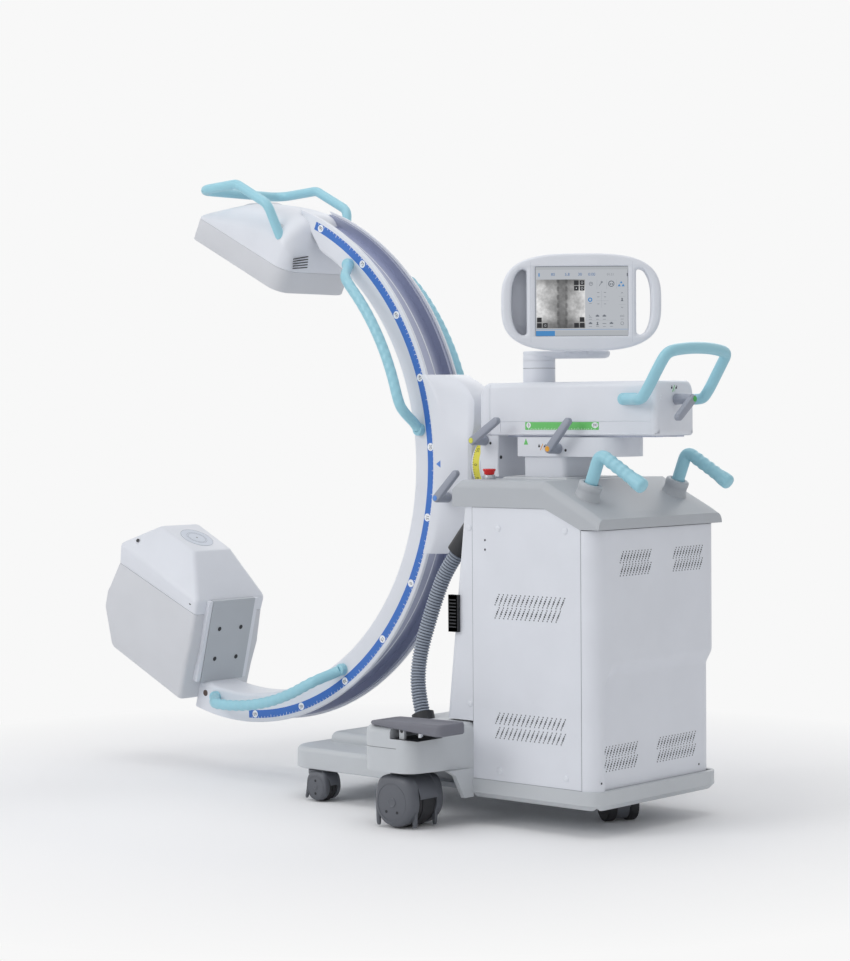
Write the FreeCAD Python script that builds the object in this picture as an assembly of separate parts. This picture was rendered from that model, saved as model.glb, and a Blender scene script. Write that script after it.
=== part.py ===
import FreeCAD, Part
import math
import os

# Mobile C-arm X-ray stand, in millimetres. +X runs from the C to the cabinet, +Z is up, and the
# operator's left and right sides lie at -Y and +Y. Z is measured from the floor.
# While it is built, X is measured from a datum in the column side of the machine; the saved parts
# are moved so that the middle of the length lies at the origin.
V = FreeCAD.Vector
os.makedirs("parts", exist_ok=True)

# Common sizes
mid_length_x = -104.57
wall = 4.0
slide_gap = 0.3
pin_gap = 0.05
near_far = (("left", -1.0), ("right", 1.0))

# C, measured from its own centre, angles in degrees on its scale
axis_z = 844.0
carriage_back_x = 215.0
carriage_depth = 119.0
c_tilt = 26.4
c_outer_r = 698.0
c_beam_depth = 78.0
c_inner_r = c_outer_r - c_beam_depth
c_centre_x = carriage_back_x - carriage_depth - c_outer_r
c_half_width = 60.0
c_low_angle = -79.4
c_slant_inner_angle = 87.4
c_slant_outer_angle = 97.6
channel_half_width = 40.0
channel_depth = 26.0
groove_half_width = 52.0
groove_depth = 6.0

# Handles on both sides of the C
c_handle_bar_r = 11.5
c_handle_reach = 70.0
c_handle_r = c_inner_r + 28.0
c_handle_bend = 24.0
upper_handle_angles = (78.0, 34.0)
lower_handle_angles = (-29.0, -73.0)

# Image detector under the upper end of the C
detector_length = 355.0
detector_x1 = -5.0
detector_x0 = detector_x1 - detector_length
detector_half_width = 134.0
detector_seam_z = c_inner_r - 71.0
detector_face_z = detector_seam_z - 61.0
detector_corner_r = 12.0
detector_floor = 6.0
sensor_height = 24.0
sensor_margin = 14.0
loop_bar_r = 12.5
loop_bend = 38.0
loop_out = 16.0
loop_foot_in = 14.0
# Crown, as distance from the outer end, height of its sides and of its ridge above the seam
crown_stations = ((0.0, 4.0, 37.0), (70.0, 13.0, 76.0), (131.0, 28.0, 103.0), (212.0, 51.0, 127.0),
                  (290.0, 67.0, 141.0), (detector_length, 69.0, 138.0))
# Loop handle, as distance from the inner end and height above the seam
loop_profile = ((-55.0, 63.0), (-117.0, 139.0), (-245.0, 141.0), (-367.0, 71.0))

# Tube housing at the lower end of the C
tank_half_width = 130.0
tank_left_x = -272.0
tank_bottom_z = -c_inner_r - 42.0
tank_top_z = tank_bottom_z + 362.0
tank_shoulder_z = tank_bottom_z + 272.0
tank_seam_left_z = tank_bottom_z + 221.0
tank_seam_right_z = tank_bottom_z + 239.0
tank_edge_r = 10.0
tank_wall = 8.0
tank_plate_room = 12.0
# Left side of the lower shell and of its cavity, inward from the left and up from the bottom
tank_left_profile = ((17.0, 221.0), (5.0, 148.0), (15.0, 83.0), (88.0, -7.0))
tank_left_cavity = ((24.0, 221.0), (24.0, 90.0), (94.0, wall))
# Top of the cover: how far its left and right ends and its sides lie inward
tank_crown_left = 72.0
tank_crown_right = 50.0
tank_crown_half_width = 70.0
bracket_inner_r = c_inner_r - 230.0
bracket_half_width = 78.0
bracket_angle = 1.8
bracket_hole_r = 6.0
bracket_hole_radii = (c_inner_r - 149.0, c_inner_r - 64.0)
bracket_hole_half_pitch = 40.0
window_x = -123.0
window_r = 47.0
window_height = 8.0
insert_r = 62.0
insert_length = 190.0

# Carriage that holds the C
carriage_gap = 2.0
carriage_half_width = 85.0
carriage_half_angle = 18.5
carriage_top_x = carriage_back_x + 26.0
carriage_low_x = carriage_back_x - 65.0
# Back of the carriage between its corners, as distance from them and height from the axis or corner
carriage_top_step = (8.0, 28.0)
carriage_flat_half = 95.0
carriage_low_step = (25.0, 30.0)
orbit_lever_drop = 81.0
block_angles = (-14.0, 14.0)
block_half_angle = 3.0
block_height = 40.0
frame_half_width = 58.0
frame_half_height = 90.0
hub_r = 70.0
hub_length = 28.0
hub_neck_r = 50.0
shaft_r = 20.0
hub_to_drum = 2.0

# Horizontal arm
arm_half_width = 75.0
arm_bottom_z = 916.0
arm_top_z = 1043.0
arm_edge_r = 20.0
drum_length = 58.0
drum_bottom_z = 816.0
shell_end_x = 700.0
arm_end_x = 778.0
rail_half_width = 55.0
rail_start_x = 320.0
rail_height = 46.0
arm_travel = 200.0
arm_loop_foot_x = 690.0
arm_loop_x = 778.0
arm_loop_back_x = 849.0
arm_loop_z = 1000.0
arm_loop_top_z = 1103.0
arm_loop_half_width = 131.0
arm_loop_bar_r = 12.5
arm_loop_bend = 60.0

# Pan head and lift column
column_x = 442.0
column_half_x = 64.0
column_half_y = 70.0
column_wall = 6.0
column_bottom_z = 250.0
pan_height = 46.0
pan_top_z = arm_bottom_z - 4.0
pan_bottom_z = pan_top_z - pan_height
pan_front_x = 359.0
pan_end_x = 658.0
pan_end_r = 60.0
pan_lever_x = 490.0
pan_lever_height = 19.0
pan_pin_r = 34.0
pan_pin_length = 30.0
guide_wall = 8.0
guide_top_z = 796.0
lift_rod_r = 15.0
lift_rod_bottom_z = 110.0
lift_housing_r = 28.0
lift_housing_top_z = 560.0

# Monitor and its link, in a frame turned to face the user
post_x = 373.0
post_r = 39.0
post_top_z = 1095.0
post_pin_r = 12.0
monitor_yaw = 41.6
monitor_offset = 94.0
monitor_front = 148.0
monitor_thick = 60.0
monitor_width = 378.0
monitor_height = 231.0
monitor_z = 1231.0
monitor_corner_r = 18.0
screen_width = 218.5
screen_height = 161.5
screen_inset = 2.0
screen_thick = 6.0
slot_offset = 148.0
slot_width = 36.0
slot_height = 157.0
tilt_axis_z = 1205.0
tilt_axis_back = 50.0
tilt_pin_r = 6.0
link_half_width = 15.0
link_cheek = 14.0

# Cabinet
cabinet_front_x = 361.0
cabinet_rear_x = 684.0
cabinet_half_width = 240.0
panel_thick = 3.0
panel_low_z = 108.0
panel_top_z = 750.0
panel_slope_x = 581.0
panel_rear_top_z = 704.0
front_low_x = 273.0
front_low_z = 244.0
front_top_x = 329.0
front_corner_r = 20.0
rear_cover_x = 729.0
rear_corner_r = 42.0
rear_cover_top_z = 702.0
skirt_low_z = 64.0
skirt_rear_x = 733.0
skirt_out = 3.0
skirt_wall = 16.0
skirt_chamfer = 12.0
cap_r = 8.0
cap_height = 1.5
# Panel caps, as distance from the cabinet's front or rear edge and height from the panel's top or bottom
cap_inset = 80.0
cap_rear_inset = 45.0
cap_top_drop = 49.5
cap_low_rise = 24.5
cap_front_inset = 10.0
cap_front_rise = 39.5
generator_x0 = 530.0
generator_half_width = 190.0
generator_top_z = 560.0

# Grey top cover
top_front_x = 302.0
top_half_width = cabinet_half_width + 3.0
top_rear_x = 738.0
top_crease_z = 789.0
top_z = 813.0
top_flat_front_x = 326.0
top_flat_rear_x = 575.0
top_slope_x = 716.0
top_slope_z = 741.0
top_rear_z = 728.0
top_edge = 20.0
estop_x = 360.0
estop_y = 65.0 - cabinet_half_width
estop_r = 15.0
estop_collar_r = 14.0
estop_collar_height = 10.0
estop_stem_r = 8.0
estop_top_z = 838.0
push_y = cabinet_half_width - 70.0
push_bar_r = 16.0
push_base = (643.5, 761.0)
push_apex = (688.0, 876.0)
push_end = (812.0, 800.0)
push_bend = 26.0
push_socket_r = 25.0
push_socket_height = 48.0

# Base
frame_plate_z0 = 78.0
frame_plate_z1 = 90.0
nose_x = -270.0
nose_half_width = 240.0
nose_low_z = 80.0
nose_top_z = 131.0
nose_corner_r = 80.0
nose_edge_r = 12.0
hump_x = -235.0
hump_half_width = 120.0
hump_height = 26.0
hump_edge_r = 20.0
shoulder_front_x = 165.0
shoulder_half_width = 425.0
shoulder_rear_x = 320.0
shoulder_low_z = 133.0
shoulder_top_z = 240.0
shoulder_corner_r = 42.0
shoulder_edge_r = 18.0
beam_x0 = 196.0
beam_x1 = 300.0
beam_half_width = shoulder_half_width - 20.0
beam_low_z = 133.5
beam_height = 34.0
gusset_thick = 12.0
gusset_half_width = shoulder_half_width - 95.0
gusset_foot = 32.0
gusset_slope = 25.0
gusset_slope_z = 120.0

# Pedals
pedal_x0 = 190.0
pedal_x1 = 420.0
pedal_y = shoulder_half_width - 45.0
pedal_half_width = 48.0
pedal_top_z = 256.0
pedal_axis_x = 290.0
pedal_axis_drop = 8.0
pedal_pin_r = 5.0
pedal_lug_half_width = 26.0
pedal_lug_r = 7.5
pedal_ear_thick = 8.0
notch_front_x = 262.0
notch_half_width = 54.0
notch_depth = 28.0

# Casters
main_swivel_x = 234.0
main_swivel_y = shoulder_half_width - 67.0
main_trail = 28.0
main_wheel_r = 62.0
main_wheel_width = 56.0
main_width = 124.0
front_swivel_x = -175.0
front_swivel_y = 222.0
front_trail = 25.0
front_wheel_r = 37.0
front_wheel_width = 24.0
front_width = 60.0
rear_swivel_x = 620.0
rear_trail = 27.0
rear_wheel_r = 37.0
rear_wheel_width = 24.0
rear_width = 80.0
rear_yaw = -28.4
caster_stem_r = 12.0
caster_axle_r = 8.0
side_play = 0.4

# Levers
lever_boss_r = 12.0
lever_bar_r = 8.0
lever_pin_r = 6.0
lever_length = 93.0
orbit_boss = 48.0
orbit_rise = 44.5
rotation_boss = 52.0
rotation_rise = 32.7
pan_boss = 42.0
pan_rise = 48.8
travel_boss = 54.0
travel_fall = 37.2
travel_length = 74.4

# Cable hose
hose_r = 19.0
hose_points = (
    (205.0, -245.0, 250.0),
    (188.0, -240.0, 292.0),
    (178.0, -231.0, 347.0),
    (181.0, -220.0, 407.0),
    (197.0, -210.0, 471.0),
    (216.0, -200.0, 538.0),
    (238.0, -192.0, 594.0),
    (268.0, -185.0, 636.0),
)
gland_r = 27.0
gland_height = 14.0
connector_x0 = 294.0
connector_x1 = 322.0
connector_z0 = 452.0
connector_z1 = 540.0
connector_depth = 10.0


def box(x0, x1, y0, y1, z0, z1):
    return Part.makeBox(x1 - x0, y1 - y0, z1 - z0, V(x0, y0, z0))


def cylinder(start, direction, radius, length):
    return Part.makeCylinder(radius, length, V(*start), V(*direction))


def prism_y(points, y0, y1):
    """Extrude an outline drawn in X and Z from y0 to y1."""
    corners = [V(x, y0, z) for x, z in points]
    face = Part.Face(Part.makePolygon(corners + corners[:1]))
    return face.extrude(V(0, y1 - y0, 0))


def prism_z(points, z0, z1):
    """Extrude an outline drawn in X and Y from z0 to z1."""
    corners = [V(x, y, z0) for x, y in points]
    face = Part.Face(Part.makePolygon(corners + corners[:1]))
    return face.extrude(V(0, 0, z1 - z0))


def prism_x(points, x0, x1):
    """Extrude an outline drawn in Y and Z from x0 to x1."""
    corners = [V(x0, y, z) for y, z in points]
    face = Part.Face(Part.makePolygon(corners + corners[:1]))
    return face.extrude(V(x1 - x0, 0, 0))


def fillet_where(shape, radius, test):
    """Round the edges whose two end points both pass the test."""
    edges = [e for e in shape.Edges if len(e.Vertexes) == 2 and test(e.Vertexes[0].Point, e.Vertexes[1].Point)]
    return shape.makeFillet(radius, edges)


def upright(a, b):
    """True for an edge that runs straight up."""
    return abs(a.x - b.x) < 0.01 and abs(a.y - b.y) < 0.01


def round_top(shape, radius, end_x):
    """Round the top edges, except one that lies straight across at end_x."""
    top_z = shape.BoundBox.ZMax
    edges = [e for e in shape.Edges if min(v.Z for v in e.Vertexes) > top_z - 0.1
             and min(v.X for v in e.Vertexes) < end_x - 0.1]
    return shape.makeFillet(radius, edges)


def mirror_y(shape):
    return shape.mirror(V(0, 0, 0), V(0, 1, 0))


def polar(radius, angle):
    """A point of the C's plane: X and Z from the C's centre, the angle rising from +X."""
    a = math.radians(angle)
    return radius * math.cos(a), radius * math.sin(a)


def sector(r0, r1, a0, a1, half_width):
    """Part of a ring round the C's centre, between two angles."""
    corners = [V(r, y, 0) for r, y in ((r0, -half_width), (r1, -half_width), (r1, half_width), (r0, half_width))]
    face = Part.Face(Part.makePolygon(corners + corners[:1]))
    face.rotate(V(0, 0, 0), V(0, 1, 0), -a0)
    return face.revolve(V(0, 0, 0), V(0, -1, 0), a1 - a0)


def bent_path(points, radii):
    """Straight runs joined by tangent arcs, one radius for each inner point."""
    corners = [V(*p) for p in points]
    edges = []
    start = corners[0]
    for before, at, after, radius in zip(corners, corners[1:], corners[2:], radii):
        into = (at - before).normalize()
        out = (after - at).normalize()
        half_turn = into.getAngle(out) / 2
        trim = radius * math.tan(half_turn)
        arc_start = at - into * trim
        arc_end = at + out * trim
        to_centre = (out - into).normalize()
        arc_middle = at + to_centre * (radius / math.cos(half_turn) - radius)
        edges.append(Part.LineSegment(start, arc_start).toShape())
        edges.append(Part.Arc(arc_start, arc_middle, arc_end).toShape())
        start = arc_end
    edges.append(Part.LineSegment(start, corners[-1]).toShape())
    return Part.Wire(edges)


def bent_bar(points, bar_r, radii):
    """A round bar along such a path."""
    path = bent_path(points, radii)
    first = V(*points[0])
    direction = V(*points[1]) - first
    section = Part.Wire([Part.makeCircle(bar_r, first, direction)])
    return path.makePipeShell([section], True, False)


def even_bends(points, radius):
    return [radius] * (len(points) - 2)


def rounded_wire(x0, x1, half_width, radius, z):
    """A rectangle with round corners, level at z and centred on the middle plane."""
    slab = box(x0, x1, -half_width, half_width, z, z + 1.0)
    slab = fillet_where(slab, radius, upright)
    bottom = min(slab.Faces, key=lambda f: f.CenterOfMass.z)
    return bottom.OuterWire


def save(name, shape):
    """Write one node, moved so that the middle of the length is the origin."""
    moved = shape.copy()
    moved.translate(V(-mid_length_x, 0, 0))
    moved.exportStep("parts/" + name + ".step")


def place_c(shape):
    """Stand the C and what it carries at its rest reading."""
    placed = shape.copy()
    placed.rotate(V(0, 0, 0), V(0, 1, 0), c_tilt)
    placed.translate(V(c_centre_x, 0, axis_z))
    return placed


def save_on_c(name, shape):
    save(name, place_c(shape))


def c_arc():
    """The C: a hollow-backed curved beam with a track in its outer side."""
    beam = sector(c_inner_r, c_outer_r, c_low_angle, c_slant_outer_angle, c_half_width)
    inner_corner = polar(c_inner_r, c_slant_inner_angle)
    outer_corner = polar(c_outer_r, c_slant_outer_angle)
    over = c_outer_r - c_inner_r
    along = (outer_corner[0] - inner_corner[0], outer_corner[1] - inner_corner[1])
    inner_over = (inner_corner[0] - along[0] / 2, inner_corner[1] - along[1] / 2)
    outer_over = (outer_corner[0] + along[0] / 2, outer_corner[1] + along[1] / 2)
    beyond = outer_corner[0] - 2 * over
    beam = beam.cut(prism_y((inner_over, outer_over, (beyond, outer_over[1]), (beyond, inner_over[1])),
                            -c_half_width - wall, c_half_width + wall))
    end_margin = math.degrees(wall / c_outer_r)
    track_angles = (c_low_angle + end_margin, c_slant_inner_angle - end_margin)
    beam = beam.cut(sector(c_outer_r - channel_depth, c_outer_r + wall, *track_angles, channel_half_width))
    return beam.cut(sector(c_outer_r - groove_depth, c_outer_r + wall, *track_angles, groove_half_width))


def c_handle(angles):
    """One side handle: two feet on the side of the C and a curved bar that stands off."""
    high, low = angles
    out = c_half_width + c_handle_reach
    foot_turn = math.degrees(c_handle_reach / 2 / c_handle_r)
    runs = 4
    span = (high - low - 2 * foot_turn) / runs
    inside = c_half_width - c_handle_bar_r
    points = [(polar(c_handle_r, high), inside)]
    points += [(polar(c_handle_r, high - foot_turn - i * span), out) for i in range(runs + 1)]
    points += [(polar(c_handle_r, low), inside)]
    path = [(p[0], -y, p[1]) for p, y in points]
    return bent_bar(path, c_handle_bar_r, even_bends(path, c_handle_bend))


def c_handles():
    beam = sector(c_inner_r, c_outer_r, lower_handle_angles[1] - c_handle_bend, upper_handle_angles[0] + c_handle_bend,
                  c_half_width)
    bars = [c_handle(angles).cut(beam) for angles in (upper_handle_angles, lower_handle_angles)]
    return Part.makeCompound(bars + [mirror_y(b) for b in bars])


def dome(offset):
    """The crowned detector cover, moved inward by the offset."""
    half = detector_half_width - offset
    low = detector_seam_z
    wires = []
    for distance, side_height, ridge_height in crown_stations:
        inner_x = min(max(detector_x0 + distance, detector_x0 + offset), detector_x1 - offset)
        side = low + side_height - offset
        ridge = low + ridge_height - offset
        corners = [V(inner_x, -half, side), V(inner_x, -half, low), V(inner_x, half, low), V(inner_x, half, side)]
        crown = Part.Arc(corners[3], V(inner_x, 0, ridge), corners[0]).toShape()
        wires.append(Part.Wire(Part.makePolygon(corners).Edges + [crown]))
    return Part.makeLoft(wires, True, True)


def detector_parts(arc):
    """Flat detector: a tray with the sensor in it, a crowned cover and a looped handle."""
    tray = box(detector_x0, detector_x1, -detector_half_width, detector_half_width, detector_face_z, detector_seam_z)
    tray = fillet_where(tray, detector_corner_r, upright)
    cavity = box(detector_x0 + wall, detector_x1 - wall, -detector_half_width + wall, detector_half_width - wall,
                 detector_face_z + detector_floor, detector_seam_z)
    tray = tray.cut(cavity)
    margin = wall + sensor_margin
    floor_z = detector_face_z + detector_floor
    sensor = box(detector_x0 + margin, detector_x1 - margin, -detector_half_width + margin,
                 detector_half_width - margin, floor_z, floor_z + sensor_height)
    outer = dome(0.0)
    keep_out = sector(c_inner_r, c_outer_r + wall, c_slant_inner_angle - block_height, c_slant_outer_angle,
                      c_half_width)
    socket = keep_out.common(outer)
    skin = outer.cut(dome(wall)).fuse(socket).cut(arc)
    skin = max(skin.Solids, key=lambda s: s.Volume)
    widths = [detector_half_width - loop_foot_in] + [detector_half_width + loop_out] * (len(loop_profile) - 1)
    half_path = [(detector_x1 + x, y, detector_seam_z + z) for (x, z), y in zip(loop_profile, widths)]
    path = [(x, -y, z) for x, y, z in half_path] + half_path[::-1]
    loop = bent_bar(path, loop_bar_r, even_bends(path, loop_bend))
    loop = loop.cut(outer)
    loop = max(loop.Solids, key=lambda s: s.Volume)
    return tray, sensor, skin, loop


def tank_parts():
    """Tube housing: a lower shell, a shaped cover, the insert inside, the plate and the beam window."""
    plate_angle = c_low_angle
    slope = math.sin(math.radians(plate_angle))
    right_top = polar(tank_seam_right_z / slope, plate_angle)
    right_low = polar(tank_bottom_z / slope, plate_angle)
    left_side = [(tank_left_x + x, tank_bottom_z + z) for x, z in tank_left_profile]
    housing = prism_y(left_side + [right_low, right_top], -tank_half_width, tank_half_width)
    long_edges = [e for e in housing.Edges if e.Length > tank_edge_r
                  and min(abs(v.Y) for v in e.Vertexes) > tank_half_width - 0.01
                  and abs(e.Vertexes[0].Y - e.Vertexes[-1].Y) < 0.01
                  and e.Vertexes[0].Z < tank_seam_left_z - 1]
    housing = housing.makeFillet(tank_edge_r, long_edges)
    floor_z = tank_bottom_z + wall
    inner_half = tank_half_width - tank_wall
    left_cavity = [(tank_left_x + x, tank_bottom_z + z) for x, z in tank_left_cavity]
    right_cavity = [(right_low[0] - tank_plate_room, floor_z), (right_top[0] - tank_plate_room, tank_seam_right_z)]
    housing = housing.cut(prism_y(left_cavity + right_cavity, -inner_half, inner_half))

    collar_outline = (left_side[0], (right_top[0], tank_seam_right_z), (right_top[0], tank_shoulder_z),
                      (tank_left_x, tank_shoulder_z))
    collar = prism_y(collar_outline, -tank_half_width, tank_half_width)
    base_wire = rounded_wire(tank_left_x, right_top[0] + tank_edge_r, tank_half_width, tank_edge_r, tank_shoulder_z)
    crown_wire = rounded_wire(tank_left_x + tank_crown_left, -tank_crown_right, tank_crown_half_width, tank_edge_r,
                              tank_top_z)
    crown = Part.makeLoft([base_wire, crown_wire], True, True)
    beyond_plate = sector(bracket_inner_r / 2, c_outer_r, plate_angle, plate_angle + 4 * wall, 2 * tank_half_width)
    cover = collar.fuse(crown).cut(beyond_plate)
    hollow_right = right_top[0] - tank_plate_room - 2
    hollow_base = rounded_wire(tank_left_x + tank_edge_r, hollow_right, inner_half, tank_edge_r, tank_shoulder_z)
    hollow_top = rounded_wire(tank_left_x + tank_crown_left + tank_plate_room, -tank_crown_right - tank_plate_room,
                              tank_crown_half_width - tank_plate_room, tank_edge_r, tank_top_z - wall)
    hollow = Part.makeLoft([hollow_base, hollow_top], True, True)
    low_outline = (left_cavity[0], (hollow_right, tank_seam_right_z), (hollow_right, tank_shoulder_z),
                   (tank_left_x + tank_plate_room, tank_shoulder_z))
    low_hollow = prism_y(low_outline, -inner_half, inner_half)
    window = cylinder((window_x, 0, tank_top_z - window_height), (0, 0, 1), window_r, window_height)
    cover = cover.cut(hollow).cut(low_hollow).cut(window)

    insert = cylinder((window_x, -insert_length / 2, floor_z + slide_gap + insert_r), (0, 1, 0),
                      insert_r, insert_length)
    bracket = sector(bracket_inner_r, c_inner_r, plate_angle, plate_angle + bracket_angle, bracket_half_width)
    along = polar(1.0, plate_angle + 90.0)
    for radius in bracket_hole_radii:
        x, z = polar(radius, plate_angle)
        for y in (-bracket_hole_half_pitch, bracket_hole_half_pitch):
            start = (x - along[0] * wall, y, z - along[1] * wall)
            bracket = bracket.cut(cylinder(start, (along[0], 0, along[1]), bracket_hole_r, bracket_hole_r * 5))
    return housing, cover, window, insert, bracket


def build_c():
    arc = c_arc()
    tray, sensor, skin, loop = detector_parts(arc)
    housing, cover, window, insert, bracket = tank_parts()
    save_on_c("c_arc", arc)
    save_on_c("c_handles", c_handles())
    save_on_c("detector_tray", tray)
    save_on_c("detector_sensor", sensor)
    save_on_c("detector_cover", skin)
    save_on_c("detector_handle", loop)
    save_on_c("tank_housing", housing)
    save_on_c("tank_cover", cover)
    save_on_c("beam_window", window)
    save_on_c("xray_tube_insert", insert)
    save_on_c("tank_bracket", bracket)


def at_centre(shape):
    placed = shape.copy()
    placed.translate(V(c_centre_x, 0, axis_z))
    return placed


def carriage_outline(inset):
    """Side view of the carriage: a hollow front that follows the C and a stepped back."""
    front_r = c_outer_r + carriage_gap + inset
    steps = 8
    half_angle = carriage_half_angle - math.degrees(inset / c_outer_r)
    front = [polar(front_r, -half_angle + 2 * half_angle * i / steps) for i in range(steps + 1)]
    points = [(c_centre_x + x, axis_z + z) for x, z in front]
    top_z = points[-1][1]
    low_z = points[0][1]
    back = [(carriage_top_x, top_z), (carriage_top_x - carriage_top_step[0], top_z - carriage_top_step[1]),
            (carriage_back_x, axis_z + carriage_flat_half), (carriage_back_x, axis_z - carriage_flat_half),
            (carriage_low_x + carriage_low_step[0], low_z + carriage_low_step[1]), (carriage_low_x, low_z)]
    back = [(x - inset, z) for x, z in back]
    return points + back


def lever(pivot, side_half_width, boss_length, rise, pin_length):
    """A lever on the operator's side face: a boss on its own pin and a bar that rises by the angle."""
    x, z = pivot
    start_y = -side_half_width - slide_gap
    boss = cylinder((x, start_y, z), (0, -1, 0), lever_boss_r, boss_length)
    pin = cylinder((x, start_y, z), (0, 1, 0), lever_pin_r, pin_length)
    bar_y = start_y - boss_length + 1.3 * lever_bar_r
    direction = polar(1.0, rise)
    bar = cylinder((x, bar_y, z), (direction[0], 0, direction[1]), lever_bar_r, lever_length)
    return boss.fuse(pin).fuse(bar)


def build_carriage():
    outline = carriage_outline(0.0)
    cover = prism_y(outline, -carriage_half_width, carriage_half_width)
    side_edges = [e for e in cover.Edges if min(abs(v.Y) for v in e.Vertexes) > carriage_half_width - 0.01
                  and e.Vertexes[0].Y * e.Vertexes[-1].Y > 0 and min(v.X for v in e.Vertexes) > carriage_low_x - 1]
    cover = cover.makeFillet(2 * wall, side_edges)
    cover = cover.cut(prism_y(carriage_outline(wall), -carriage_half_width + wall, carriage_half_width - wall))
    block_top_r = c_outer_r - channel_depth + block_height
    slot_half = block_angles[1] + block_half_angle + 0.5
    cover = cover.cut(at_centre(sector(c_outer_r - wall, block_top_r, -slot_half, slot_half, channel_half_width)))
    neck = cylinder((carriage_back_x - wall, 0, axis_z), (1, 0, 0), hub_neck_r, 2 * wall)
    cover = cover.cut(neck)
    pivot = (carriage_low_x, axis_z - orbit_lever_drop)
    pin_depth = 3 * wall
    cover = cover.fuse(cylinder((pivot[0], -carriage_half_width, pivot[1]), (0, 1, 0), lever_boss_r, pin_depth))
    cover = cover.cut(cylinder((pivot[0], -carriage_half_width - 1, pivot[1]), (0, 1, 0),
                               lever_pin_r + pin_gap, pin_depth))
    save("carriage_cover", cover)
    blocks = [sector(c_outer_r - channel_depth + slide_gap, block_top_r, a - block_half_angle, a + block_half_angle,
                     channel_half_width - slide_gap) for a in block_angles]
    save("guide_blocks", at_centre(Part.makeCompound(blocks)))
    shoe = at_centre(sector(block_top_r, block_top_r + 3 * wall, -slot_half, slot_half, channel_half_width))
    frame_x0 = c_centre_x + block_top_r + 2 * wall
    body = box(frame_x0, carriage_back_x - wall, -frame_half_width, frame_half_width,
               axis_z - frame_half_height, axis_z + frame_half_height)
    save("carriage_frame", body.fuse(shoe))
    hub = cylinder((carriage_back_x, 0, axis_z), (1, 0, 0), hub_r, hub_length)
    hub = hub.fuse(cylinder((carriage_back_x - wall, 0, axis_z), (1, 0, 0), hub_neck_r, wall))
    hub = hub.cut(cylinder((carriage_back_x + wall, 0, axis_z), (1, 0, 0), shaft_r + pin_gap, hub_length))
    save("yoke_hub", hub)
    save("lever_orbit", lever(pivot, carriage_half_width, orbit_boss, orbit_rise, pin_depth - wall))


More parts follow.
